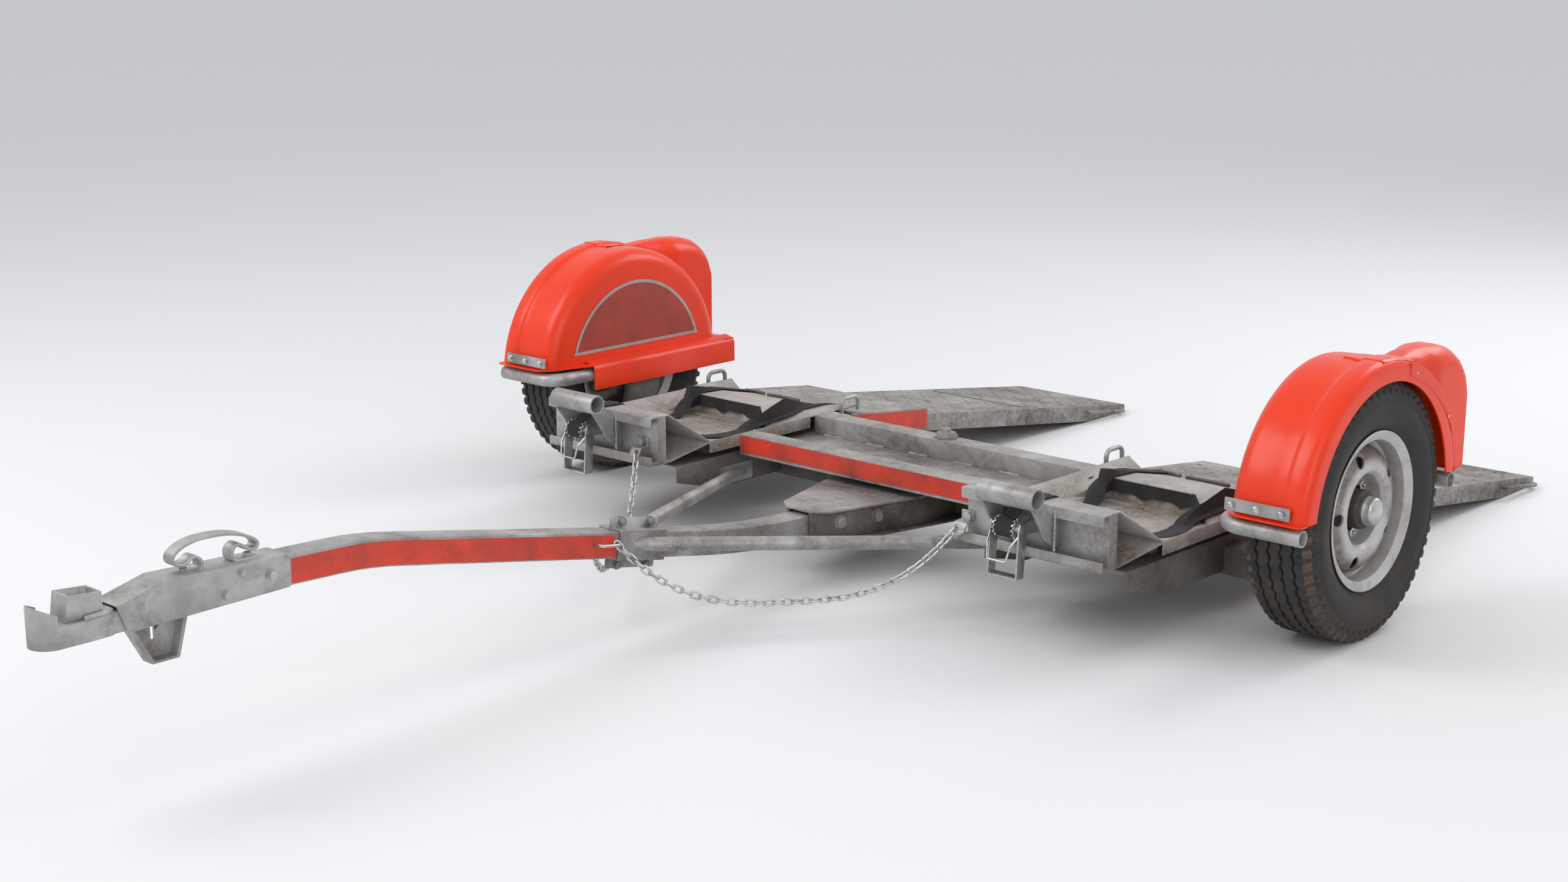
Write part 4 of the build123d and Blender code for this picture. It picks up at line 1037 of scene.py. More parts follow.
    def turned(
        self, label: str, outline: Outline, finish: Finish, slot: Slot, replaces: tuple[str, ...] = ()
    ) -> None:
        """Turn a closed outline of width and radius about the spindle.

        Args:
            label: the piece's name without its side.
            outline: the outline.
            finish: its finish.
            slot: the record's material slot.
            replaces: CAD nodes that it stands for.
        """
        rows = []
        for angle in full_turn(96):
            rows.append([self.point(self.s * (WHEEL_X + w), r, angle) for w, r in outline])
        mesh = Workshop.smooth(Workshop.grid(rows, closed_rows=True, closed_columns=True), 40.0)
        name, body = f"{label}_{self.side}", f"wheel_{self.side}"
        Workshop.piece(name, mesh, finish.material(), body, slot, replaces)

    def hub(self) -> None:
        """Build the drums, the bright dust cap and the wheel nuts with their stud ends."""
        self.turned("hub_drum", self.drum, Finishes.HUB, Slot.HUB, (f"hub_{self.side}",))
        self.turned("hub_collar", self.collar, Finishes.HUB, Slot.HUB)
        self.turned("dust_cap", self.cap, Finishes.BRIGHT, Slot.BRIGHT)
        for label, reach, head, height, washer, washer_height in (
            ("wheel_nuts", 0.0087, 0.0115, 0.0140, 0.0140, 0.0028),
            ("stud_ends", 0.0260, 0.0042, 0.0008, 0.0055, 0.0034),
        ):
            nuts = Placed()
            for k in range(self.studs):
                angle = math.radians(self.first_stud + 360 / self.studs * k)
                along, up = self.stud_circle * math.cos(angle), self.stud_circle * math.sin(angle)
                spot = Vector((self.s * (WHEEL_X + reach), AXLE_Y + along * self.s, HUB_Z + up))
                nuts.add(spot, Vector((self.s, 0, 0)), 1.0, angle)
            sizes = {
                "Head Radius": head, "Head Height": height, "Washer Radius": washer,
                "Washer Height": washer_height,
            }
            name, body = f"{label}_{self.side}", f"wheel_{self.side}"
            Workshop.bolted(name, nuts, Finishes.BRIGHT, Slot.BRIGHT, sizes, body)

    def build(self) -> None:
        """Build the whole wheel."""
        self.tyre()
        self.hub()


@dataclass
class Fender:
    """Moulded arch, its lamp hood and the fixings on it."""

    side: str
    s: int
    inner: float = 1.100
    outer: float = 1.3012
    side_reach: float = 1.3030
    lip_reach: float = 0.3530
    crown: float = 0.345
    band: float = 0.352
    band_x: float = 1.243
    foot: float = 0.338
    sheet: float = 0.004
    bend: float = 0.046
    tuck: float = 0.022
    around: int = 96
    hood_start: float = 0.085
    hood_length: float = 0.301
    hood_stations: int = 26
    front_foot: Outline = (
        (1.062, -0.205), (1.074, -0.235), (1.100, -0.330), (1.118, -0.356), (1.140, -0.365),
        (1.290, -0.365), (1.301, -0.358), (1.301, -0.336),
    )
    front_foot_inner: Outline = (
        (1.100, -0.190), (1.100, -0.235), (1.1015, -0.320), (1.118, -0.336), (1.140, -0.338),
        (1.288, -0.338), (1.299, -0.336), (1.300, -0.336),
    )
    skirt_steps: Outline = (
        (-0.205, 0.0), (-0.070, 0.0), (-0.062, 0.003), (0.105, 0.003), (0.113, 0.0), (0.250, 0.0),
        (0.372, 0.0),
    )
    ridge: Outline = (
        (0.085, 0.634), (0.120, 0.640), (0.170, 0.6465), (0.230, 0.648), (0.290, 0.644),
        (0.330, 0.634), (0.360, 0.616), (0.376, 0.596), (0.386, 0.566),
    )
    lip: Outline = (
        (-0.0265, 0.0), (-0.0260, 0.0022), (-0.0230, 0.0034), (-0.0190, 0.0026), (0.030, 0.0016),
        (0.080, 0.0013), (0.118, 0.0013),
    )
    lens: Outline = (
        (0.000, 0.040), (0.014, 0.040), (0.020, 0.037), (0.026, 0.030), (0.029, 0.018), (0.030, 0.0005),
    )
    lamp_place: tuple[float, float, float] = (1.235, 0.350, 0.548)
    panel_low: float = 0.372
    panel_reach: float = 0.258

    def spot(self, x: float, y: float, z: float) -> Vector:
        """Point by its distance from the middle plane, from the axle and from the ground."""
        return Vector((self.s * x, AXLE_Y + y, z))

    def moulding(
        self, label: str, rows: list[list[Vector]], sheet: float, offset: float | None = 0.0,
        bevel: float = 0.0, degrees: float = 32.0, node: str = "",
    ) -> None:
        """Finish rows of points as one orange moulding.

        Args:
            label: the piece's name without its side.
            rows: the points of its skin.
            sheet: its thickness.
            offset: as in Workshop.thick, or None for a thickness that goes to the inside.
            bevel: radius for its edges, if any.
            degrees: angle over which an edge stays sharp.
            node: the CAD node that it stands for, without its side.
        """
        skin = Workshop.grid(rows)
        mesh = Workshop.thick(skin, sheet, self.inward(skin) if offset is None else offset, bevel)
        self.on_frame(label, Workshop.smooth(mesh, degrees), Finishes.ORANGE, node=node)

    def on_frame(
        self, label: str, mesh: bpy.types.Mesh, finish: Finish, slot: Slot = Slot.FENDER, node: str = ""
    ) -> None:
        """Put a piece of this side on the frame."""
        replaces = (f"{node}_{self.side}",) if node else ()
        Workshop.piece(f"{label}_{self.side}", mesh, finish.material(), "frame", slot, replaces)

    def section(self) -> list[tuple[float, float]]:
        """Follow the arch's skin from the inner wall's edge to the lip.

        Returns:
            Width and radius of each point.
        """
        points = []
        for a in quarter_turn(8):
            x = self.inner + self.bend * (1 - math.cos(a))
            points.append((x, self.crown - self.bend * (1 - math.sin(a))))
        points += [
            (self.inner + 0.075, self.crown + 0.0012), (self.inner + 0.11, self.crown + 0.0016),
            (self.band_x - 0.008, self.crown), (self.band_x - 0.003, self.crown + 0.0012),
            (self.band_x + 0.003, self.band - 0.0015), (self.band_x + 0.008, self.band),
            (self.outer - 0.026, self.band),
        ]
        for a in quarter_turn(6)[1:]:
            x = self.outer - self.tuck + self.tuck * math.sin(a)
            points.append((x, self.band - self.tuck * (1 - math.cos(a))))
        points += [(self.outer, self.band - 0.040), (self.outer, 0.300)]
        return points

    def arch(self) -> None:
        """Build the arch with its flat inner wall and its straight foot."""
        rise = self.foot + self.sheet - HUB_Z
        rows = []
        section = self.section()
        for k in range(self.around + 1):
            t = k / self.around
            edge = self.arch_point(*section[0], t, rise)
            wall = edge.z - HUB_Z - rise
            row = [Vector((edge.x, edge.y, HUB_Z + rise + wall * j / 5)) for j in range(5)]
            rows.append(row + [self.arch_point(x, r, t, rise) for x, r in section])
        self.moulding("fender_arch", rows, self.sheet, None, degrees=40.0, node="fender")

    def inward(self, mesh: bpy.types.Mesh) -> float:
        """Side of the skin that the thickness goes to, so that it stays inside the arch."""
        top = max(mesh.polygons, key=lambda f: f.center.z)
        return -1.0 if top.normal.z > 0 else 1.0

    def arch_point(self, x: float, r: float, t: float, rise: float) -> Vector:
        """Find a point of the arch's skin.

        Args:
            x: its distance from the middle plane.
            r: its distance from the spindle.
            t: share of the way round, from front foot to rear foot.
            rise: height of the feet above the spindle.

        Returns:
            The point.
        """
        low = math.asin(rise / r)
        angle = math.pi - low - t * (math.pi - 2 * low)
        return self.spot(x, r * math.cos(angle), HUB_Z + r * math.sin(angle))

    def flange(self) -> None:
        """Build the flange round the foot and the stepped skirt beside the inner wall."""
        z = self.foot + self.sheet
        front = [
            [self.spot(x, y, z) for x, y in self.front_foot],
            [self.spot(x, y, z + 0.0002) for x, y in self.front_foot_inner],
        ]
        self.moulding("fender_front_flange", front, self.sheet, bevel=0.0012)
        skirt = []
        for x, z_now in (
            (1.100, z + 0.006), (1.090, z + 0.004), (1.074, z), (1.067, z - 0.004), (1.0635, z - 0.012),
            (1.063, 0.272),
        ):
            steps = [(y, step if x < 1.095 else 0.0) for y, step in self.skirt_steps]
            skirt.append([self.spot(x - step, y, z_now) for y, step in steps])
        self.moulding("fender_skirt", skirt, 0.0035, degrees=50.0)
        rear = [[self.spot(x, y, z) for x in (1.066, 1.12, 1.20, 1.301)] for y in (0.340, 0.372)]
        self.moulding("fender_rear_foot", rear, self.sheet, bevel=0.0012)

    def hood_top(self, y: float) -> float:
        """Find the height of the hood's ridge.

        Args:
            y: distance from the axle.

        Returns:
            The height above the ground.
        """
        for (a, za), (b, zb) in zip(self.ridge, self.ridge[1:]):
            if y <= b:
                return za + (zb - za) * (y - a) / (b - a)
        return self.ridge[-1][1]

    def hood(self) -> None:
        """Build the lamp hood: a scoop that swells out of the arch and opens rearward."""
        rows = []
        for k in range(self.hood_stations + 1):
            y = self.hood_start + self.hood_length * (k / self.hood_stations) ** 0.92
            swell = min(1.0, (y - self.hood_start) / 0.16) ** 0.7
            left, right = 1.232 - 0.062 * swell, 1.262 + 0.036 * swell
            top = self.hood_top(y)
            base = self.foot + self.sheet
            if y < self.crown:
                base = HUB_Z + math.sqrt(max(0.0, self.crown ** 2 - y * y)) - self.sheet
            base = min(base, top - self.sheet)
            bend = min(0.052, 0.48 * (right - left), max(0.003, 0.9 * (top - base)))
            wall = [base + (top - bend - base) * j / 4 for j in range(4)]
            row = [(left, z) for z in wall]
            for a in quarter_turn(8):
                row.append((left + bend * (1 - math.cos(a)), top - bend * (1 - math.sin(a))))
            for a in quarter_turn(8):
                row.append((right - bend * (1 - math.sin(a)), top - bend * (1 - math.cos(a))))
            row += [(right, z) for z in reversed(wall)]
            rows.append([self.spot(x, y, z) for x, z in row])
        self.moulding("lamp_hood", rows, self.sheet, None, degrees=45.0, node="fender_hood")

    def hood_seam(self) -> None:
        """Build the hood's front moulding: a rolled lip on the crown and a flap on the arch's side."""
        skin = [(x, r) for x, r in self.section() if 1.190 <= x <= 1.296 and r > 0.301]
        skin.insert(0, (1.195, self.crown + 0.0014))
        rows = []
        for y, grow in self.lip:
            row = []
            for x, r in skin:
                reach = min(r + grow, self.lip_reach)
                row.append(self.spot(x, y, HUB_Z + math.sqrt(reach ** 2 - y * y)))
            rows.append(row)
        self.moulding("hood_lap", rows, 0.0012, degrees=45.0)
        rows = []
        for k in range(33):
            t = k / 32
            y = 0.088 + (0.318 - 0.088) * t
            low = 0.3125 + 0.030 * t ** 2
            high = max(low + 0.004, self.band - 0.004)
            rows.append([self.side_point(y, low + (high - low) * j / 4) for j in range(5)])
        self.moulding("hood_flap", rows, 0.0016, bevel=0.0006, degrees=45.0)

    def side_point(self, y: float, r: float) -> Vector:
        """Point just proud of the arch's outer side, by its distance along Y and from the hub."""
        return self.spot(self.outer + HAIR, y, HUB_Z + math.sqrt(max(0.0, r * r - y * y)))

    def lamp(self) -> None:
        """Build the tail lamp inside the hood."""
        centre = self.spot(*self.lamp_place)
        rows = []
        for depth, r in self.lens:
            ring = [Vector((r * math.cos(a), depth, r * math.sin(a))) for a in full_turn(40)]
            rows.append([centre + p for p in ring])
        mesh = Workshop.thick(Workshop.grid(rows, closed_columns=True), 0.002)
        self.on_frame("tail_lamp", Workshop.smooth(mesh, 40.0), Finishes.LENS)
        y = self.lamp_place[1]
        fold = ((y, 0.600), (y, 0.50), (y - 0.04, 0.49))
        shelf = [[self.spot(x, y_now, z) for x in (1.178, 1.29)] for y_now, z in fold]
        mesh = Workshop.smooth(Workshop.thick(Workshop.grid(shelf), 0.003, 0.0))
        self.on_frame("lamp_bracket", mesh, Finishes.WEATHERED, Slot.WEATHERED)

    def panel(self) -> None:
        """Build the plain half-round panel, with its pale edge, on the inner wall."""
        for name, finish, margin, proud in (
            ("edge", Finishes.PANEL_EDGE, 0.0, 0.0006), ("field", Finishes.PANEL, 0.009, 0.0011)
        ):
            x = self.inner - 0.0005 - proud
            r, floor = self.panel_reach - margin, self.panel_low + margin
            start = math.asin((floor - HUB_Z) / r)
            angles = [start + (math.pi - 2 * start) * k / 48 for k in range(49)]
            rows = [
                [self.spot(x, r * math.cos(a), HUB_Z + r * math.sin(a)) for a in angles],
                [self.spot(x, r * math.cos(a), floor) for a in angles],
            ]
            mesh = Workshop.smooth(Workshop.thick(Workshop.grid(rows), 0.0005, 0.0))
            self.on_frame(f"wall_panel_{name}", mesh, finish)

    def fixings(self) -> None:
        """Build the strap plate's bolts and the hood's screws."""
        bolts, screws = Placed(), Placed()
        for x in (1.125, 1.187, 1.249):
            bolts.add(self.spot(x, -0.3561, 0.364), Vector((0, -1, 0)), 1.0, 0.3 + x)
        for y, z in ((0.123, 0.606), (0.291, 0.478)):
            screws.add(self.spot(self.side_reach - 0.0050, y, z), Vector((self.s, 0, 0)), 1.0, y)
        for name, places, head, height, washer, washer_height in (
            ("strap_plate_bolts", bolts, 0.0070, 0.006, 0.0095, 0.0015),
            ("hood_screws", screws, 0.0040, 0.0012, 0.0060, 0.0025),
        ):
            sizes = {
                "Head Radius": head, "Head Height": height, "Washer Radius": washer,
                "Washer Height": washer_height,
            }
            Workshop.bolted(f"{name}_{self.side}", places, Finishes.BRIGHT, Slot.BRIGHT, sizes)

    def build(self) -> None:
        """Build the whole fender."""
        self.arch()
        self.flange()
        self.hood()
        self.hood_seam()
        self.lamp()
        self.panel()
        self.fixings()


@dataclass
class SafetyChain:
    """Chain of interlocked links that follows the frame's own solid."""

    side: str
    inner_length: float = 0.022
    width: float = 0.0136
    wire: float = 0.0050

    def links(self) -> list[tuple[Vector, Matrix]]:
        """Read where the links are from the loose parts of the frame's chain.

        Returns:
            Centre and turn of every link.
        """
        node = FRAME["nodes"][f"safety_chain_{self.side}"]
        work = bmesh.new()
        work.from_mesh(node.data)
        bmesh.ops.remove_doubles(work, verts=work.verts, dist=SAME_PLACE)
        seen, found = set(), []
        for start in work.verts:
            if start.index in seen:
                continue
            stack, part = [start], []
            seen.add(start.index)
            while stack:
                v = stack.pop()
                part.append(v.co.copy())
                for e in v.link_edges:
                    o = e.other_vert(v)
                    if o.index not in seen:
                        seen.add(o.index)
                        stack.append(o)
            found.append(part)
        work.free()
        out = []
        for part in found:
            centre = sum(part, Vector()) / len(part)
            far = max(part, key=lambda p: (p - centre).length)
            spread = [p - centre for p in part]
            axis = self.longest(spread, far - centre)
            thin = self.thinnest(spread, axis)
            side = thin.cross(axis).normalized()
            out.append((centre, Matrix((axis, side, thin)).transposed()))
        return out

    @staticmethod
    def longest(points: list[Vector], start: Vector) -> Vector:
        """Find the direction of greatest spread, by power iteration.

        Args:
            points: points about their own middle.
            start: first guess.

        Returns:
            The direction.
        """
        v = start.normalized()
        for _ in range(40):
            v = sum((p * p.dot(v) for p in points), Vector()).normalized()
        return v

    @staticmethod
    def thinnest(points: list[Vector], axis: Vector) -> Vector:
        """Find the direction of least spread among those square to an axis.

        Args:
            points: points about their own middle.
            axis: the direction that it stands square to.

        Returns:
            The direction.
        """
        best, least = None, math.inf
        base = axis.orthogonal().normalized()
        for k in range(90):
            v = Matrix.Rotation(math.pi * k / 90, 3, axis) @ base
            reach = max(abs(p.dot(v)) for p in points)
            if reach < least:
                best, least = v, reach
        return best

    def build(self) -> None:
        """Build the round-wire links in place of the frame's."""
        placed = Placed()
        for centre, turn in self.links():
            placed.add_turned(centre, turn)
        steel = Finishes.BRIGHT.material()
        sizes = {
            "Length": self.inner_length + self.wire, "Width": self.width, "Wire Radius": self.wire / 2,
            "Material": steel,
        }
        mesh, node = LINKS.run(placed.mesh(), sizes), f"safety_chain_{self.side}"
        Workshop.piece(f"chain_links_{self.side}", mesh, steel, "frame", Slot.BRIGHT, (node,))


def surface(*names: str) -> BVHTree:
    """Make a search tree over the faces of CAD nodes.

    Args:
        names: the nodes.

    Returns:
        The tree, in the row's frame.
    """
    points, faces = [], []
    for name in names:
        mesh = FRAME["nodes"][name].data
        start = len(points)
        points += [v.co.copy() for v in mesh.vertices]
        faces += [[start + i for i in f.vertices] for f in mesh.polygons]
    return BVHTree.FromPolygons(points, faces)


@dataclass
class TapeBands:
    """Red bands on the tongue's sides, the decks and the front beam."""

    sheet: float = 0.0004
    tongue_half: float = 0.032
    tongue_height: float = 0.060
    tongue_start: float = -2.036
    tongue_length: float = 0.872
    inside: float = 0.0018

    def band(self, name: str, rows: list[list[Vector]]) -> None:
        """Lay one thin band."""
        mesh = Workshop.thick(Workshop.grid(rows), self.sheet, 0.0)
        Workshop.piece(name, Workshop.smooth(mesh), Finishes.RED.material(), "frame", Slot.FENDER)

    def deck_band(self, label: str, s: int) -> None:
        """Lay the band on a deck's inner side, between its sloping top and its lower edge.

        Args:
            label: the side's name.
            s: the side's sign.
        """
        low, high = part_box(f"deck_{label}")
        tree = surface(f"deck_{label}")
        edge = low.x if s > 0 else high.x
        rows = [[], []]
        for k in range(25):
            y = low.y + 0.006 + (high.y - low.y - 0.010) * k / 24
            probe = edge + s * self.inside
            top = tree.ray_cast(Vector((probe, y, ABOVE_ALL)), DOWN)[0]
            foot = tree.ray_cast(Vector((probe, y, -ABOVE_ALL)), UP)[0]
            if top and foot and top.z - foot.z > 0.012:
                rows[0].append(Vector((edge - s * HAIR, y, foot.z + 0.003)))
                rows[1].append(Vector((edge - s * HAIR, y, top.z - 0.005)))
        self.band(f"deck_band_{label}", rows)

    def tongue_middle(self, y: float) -> float:
        """Height of the tongue's middle line at a distance from the axle.

        Args:
            y: distance from the axle, negative toward the coupler.

        Returns:
            The height above the ground.
        """
        upper_slope, slope = math.tan(math.radians(-1.868)), -0.19316
        knee, knee_z, radius, reach = -1.840, 0.361, 0.900, 0.0713
        if y > knee + reach:
            return knee_z + slope * (y - knee)
        run = max(0.0, y - (knee - reach))
        return knee_z + upper_slope * (y - knee) - (radius - math.sqrt(radius * radius - run * run))

    def build(self) -> None:
        """Lay the bands on the tongue, the decks and the front beam."""
        low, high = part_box("front_beam")
        ends = (low.x + 0.004, 0.0, high.x - 0.004)
        heights = (low.z + 0.003, high.z - 0.003)
        self.band("beam_band", [[Vector((x, low.y - HAIR, z)) for x in ends] for z in heights])
        for label, s in SIDES:
            self.deck_band(label, s)
            rows = []
            for share in (-0.46, 0.40):
                row = []
                for k in range(41):
                    y = self.tongue_start + self.tongue_length * k / 40
                    z = self.tongue_middle(y) + share * self.tongue_height
                    row.append(Vector((s * (self.tongue_half + HAIR), AXLE_Y + y, z)))
                rows.append(row)
            self.band(f"tongue_band_{label}", rows)


def spline(points: list[Vector], step: float) -> list[Vector]:
    """Run a smooth curve through points.

    Args:
        points: the points that the curve passes.
        step: distance between the points that come out.

    Returns:
        Points along the curve.
    """
    out = []
    ends = [2 * points[0] - points[1], *points, 2 * points[-1] - points[-2]]
    for a, b, c, d in zip(ends, ends[1:], ends[2:], ends[3:]):
        count = max(1, math.ceil((c - b).length / step))
        for k in range(count):
            t = k / count
            square, cube = 2 * a - 5 * b + 4 * c - d, 3 * b - a - 3 * c + d
            out.append(0.5 * (2 * b + t * (c - a) + t * t * square + t ** 3 * cube))
    return [*out, points[-1]]


@dataclass
class Straps:
    """Webbing of one cradle: drum roll, lead, two legs, cross band, and the guide rods and corners."""

    side: str
    width: float = 0.045
    sheet: float = 0.0024
    gap: float = 0.0022
    step: float = 0.008
    ground_start: float = -0.556
    taut_from: float = -0.150
    ray_top: float = 0.6
    roll_radius: float = 0.0215
    roll_place: tuple[float, float, float] = (-0.014, -0.600, 0.284)
    roll_points: int = 140
    points_per_turn: int = 46
    turn_thickness: float = 0.0026
    lead_height: float = 0.3425
    lead: Outline = (
        (0.000, -0.560), (0.010, -0.520), (0.014, -0.490), (0.016, -0.450), (0.012, -0.405),
    )
    inner_leg: Outline = (
        (0.010, -0.425), (-0.070, -0.408), (-0.150, -0.372), (-0.186, -0.315), (-0.160, -0.235),
        (-0.109, -0.148), (-0.132, -0.075), (-0.122, 0.002), (-0.112, 0.080), (-0.110, 0.150),
        (-0.112, 0.200),
    )
    outer_leg: Outline = (
        (0.020, -0.425), (0.110, -0.410), (0.180, -0.378), (0.205, -0.322), (0.186, -0.230),
        (0.152, -0.135), (0.165, -0.075), (0.198, -0.004), (0.203, 0.080), (0.200, 0.150),
        (0.198, 0.200),
    )
    band_start: float = -0.152
    band_length: float = 0.330
    band_stations: int = 84
    riser_half: float = 0.113
    rod_radius: float = 0.0045
    rods: tuple[Outline, ...] = (
        ((-0.124, 0.158), (-0.074, 0.160), (-0.044, 0.148)),
        ((-0.024, 0.141), (0.015, 0.154), (0.080, 0.144), (0.102, 0.135)),
    )

    def spot(self, dx: float, y: float, z: float) -> Vector:
        """Point by its distance from the cradle's middle, from the axle and from the ground."""
        return Vector((PAN_X[self.side] + dx, AXLE_Y + y, z))

    def ground(self) -> BVHTree:
        """Surface of the cradle and its stop, which the straps lie on."""
        return surface(f"pan_{self.side}", f"stop_channel_{self.side}")

    def webbing(
        self, label: str, rows: list[list[Vector]], offset: float = 0.0, replaces: tuple[str, ...] = ()
    ) -> None:
        """Finish rows of points as a strap.

        Args:
            label: the piece's name without its side.
            rows: points across the strap, row by row along it.
            offset: as in Workshop.thick.
            replaces: CAD nodes that it stands for.
        """
        mesh = Workshop.grid(rows)
        self.unwrap(mesh, rows)
        mesh = Workshop.smooth(Workshop.thick(mesh, self.sheet, offset), 50.0)
        name = f"{label}_{self.side}"
        Workshop.piece(name, mesh, WebbingFinish.material(), "frame", Slot.WEBBING, replaces)

    def ribbon(
        self, label: str, path: list[Vector], taut_from: float = math.inf,
        replaces: tuple[str, ...] = (),
    ) -> None:
        """Lay a strap on the ground surface.

        Args:
            label: the piece's name without its side.
            path: middle line; its heights are used only where nothing lies below.
            taut_from: Y, from the axle, after which the strap is pulled straight over hollows.
            replaces: CAD nodes that it stands for.
        """
        line = spline(path, self.step)
        tree = self.ground()
        rows = []
        for i, p in enumerate(line):
            ahead = heading(line, i)
            side = Vector((ahead.y, -ahead.x, 0)).normalized()
            row = []
            for k in range(7):
                spot = p + side * self.width * (k / 6 - 0.5)
                hit = tree.ray_cast(Vector((spot.x, spot.y, self.ray_top)), DOWN)[0]
                lies = hit and spot.y > AXLE_Y + self.ground_start
                wave = 0.0006 * math.sin(2.73 * i + k)
                row.append(Vector((spot.x, spot.y, (hit.z + self.gap if lies else p.z) + wave)))
            rows.append(row)
        start = next((i for i, p in enumerate(line) if p.y - AXLE_Y > taut_from), len(line))
        for k in range(7):
            self.tighten([row[k] for row in rows[start:]])
        self.webbing(label, rows, 1.0, replaces)

    @staticmethod
    def tighten(points: list[Vector]) -> None:
        """Lift points onto the upper hull of their own line.

        Args:
            points: the points, whose heights are changed.
        """
        reach = [0.0]
        for a, b in zip(points, points[1:]):
            reach.append(reach[-1] + math.hypot(b.x - a.x, b.y - a.y))
        hull: list[int] = []
        for i, p in enumerate(points):
            while len(hull) > 1:
                a, b = hull[-2], hull[-1]
                rise, rise_now = points[b].z - points[a].z, p.z - points[a].z
                if rise * (reach[i] - reach[a]) > rise_now * (reach[b] - reach[a]):
                    break
                hull.pop()
            hull.append(i)
        for a, b in zip(hull, hull[1:]):
            rise, run = points[b].z - points[a].z, reach[b] - reach[a]
            for i in range(a + 1, b):
                points[i].z = points[a].z + rise * (reach[i] - reach[a]) / run

    @staticmethod
    def unwrap(mesh: bpy.types.Mesh, rows: list[list[Vector]]) -> None:
        """Give a strap the UV map that its weave runs along.

        Args:
            mesh: the strap's open sheet.
            rows: the rows of points that it was made from.
        """
        places, run = [], 0.0
        for i, row in enumerate(rows):
            run += (row[0] - rows[i - 1][0]).length if i else 0.0
            places += [(run, (p - row[0]).length) for p in row]
        layer = mesh.uv_layers.new(name="strap")
        for loop in mesh.loops:
            layer.data[loop.index].uv = places[loop.vertex_index]

    def roll(self) -> None:
        """Build the webbing wound on the ratchet's drum and its lead up to the stop."""
        middle = self.spot(*self.roll_place)
        rows = []
        for k in range(self.roll_points):
            a = 2 * math.pi * k / self.points_per_turn - math.pi / 2
            below = self.turn_thickness * (self.roll_points - 1 - k) / self.points_per_turn
            y, z = (self.roll_radius - below) * math.cos(a), (self.roll_radius - below) * math.sin(a)
            rows.append([middle + Vector((self.width * (j / 4 - 0.5), y, z)) for j in range(5)])
        self.webbing("strap_roll", rows)
        start = middle + Vector((0.0, 0.004, self.roll_radius))
        over = [self.spot(x, y, self.lead_height) for x, y in self.lead]
        path = [start, start + Vector((0.007, 0.018, 0.017)), *over]
        self.ribbon("strap_lead", path, replaces=(f"wheel_strap_{self.side}",))

    def band(self) -> None:
        """Build the cross band in front of the cradle's riser, with its slack lower edge."""
        rows = []
        for k in range(self.band_stations + 1):
            dx = self.band_start + self.band_length * k / self.band_stations
            out = max(0.0, abs(dx) - self.riser_half)
            face, crest = -0.0485 - 0.734 * out, 0.2735 - 0.655 * out
            sag = 0.0045 * math.sin(dx * 58.0) + 0.0030 * math.sin(dx * 117.0 + 1.1)
            low = min(0.2425 + sag, crest - 0.016)
            bulge = 0.0035 + 0.0030 * math.sin(dx * 58.0 + 0.6)
            row = []
            for j in range(7):
                t = j / 6
                row.append(self.spot(dx, face - bulge * (1.0 - t) ** 1.5, low + (crest - low) * t))
            if out > 0.004:
                row[-1] += Vector((0.0, 0.010, 0.0040))
            rows.append(row)
        self.webbing("strap_band", rows)

    def guide_rods(self) -> None:
        """Build the two thin guide rods that lie across the cradle's rear slope."""
        tree = self.ground()
        for number, path in enumerate(self.rods, 1):
            line = []
            for p in spline([self.spot(x, y, 0.3) for x, y in path], 0.006):
                hit = tree.ray_cast(Vector((p.x, p.y, self.ray_top)), DOWN)[0]
                line.append(Vector((p.x, p.y, hit.z + self.rod_radius + 0.0001)))
            name = f"guide_rod_{number}_{self.side}"
            mesh = Workshop.smooth(tube(line, self.rod_radius), 50.0)
            Workshop.piece(name, mesh, Finishes.WEATHERED.material(), "frame", Slot.WEATHERED)

    def corner_plates(self) -> None:
        """Close the small upright triangles beside the riser."""
        for m in (-1, 1):
            foot = self.spot(m * 0.192, -0.100, 0.2215)
            riser = self.spot(m * 0.112, -0.0413, 0.2215)
            mesh = bpy.data.meshes.new("corner")
            face = (0, 1, 2) if m < 0 else (2, 1, 0)
            mesh.from_pydata([foot, riser, self.spot(m * 0.112, -0.0413, 0.2745)], [], [face])
            mesh = Workshop.thick(mesh, 0.003, 0.0)
            label = "outer" if m * dict(SIDES)[self.side] > 0 else "inner"
            name = f"riser_corner_{label}_{self.side}"
            Workshop.piece(name, mesh, Finishes.PAN.material(), "frame", Slot.PAN)

    def build(self) -> None:
        """Build all the webbing of one cradle, its guide rods and its corners."""
        self.roll()
        for label, leg in (("inner", self.inner_leg), ("outer", self.outer_leg)):
            self.ribbon(f"strap_leg_{label}", [self.spot(x, y, 0.3) for x, y in leg], self.taut_from)
        self.band()
        self.guide_rods()
        self.corner_plates()


def tube(line: list[Vector], radius: float, around: int = 12) -> bpy.types.Mesh:
    """Sweep a round section along a line, with closed ends.

    Args:
        line: the middle line.
        radius: radius of the section.
        around: points round the section.

    Returns:
        The closed mesh.
    """
    rows = []
    for i, p in enumerate(line):
        ahead = heading(line, i).normalized()
        side = ahead.cross(UP).normalized()
        up = side.cross(ahead)
        rows.append([p + radius * (math.cos(a) * side + math.sin(a) * up) for a in full_turn(around)])
    return Workshop.capped(Workshop.grid(rows, closed_columns=True))


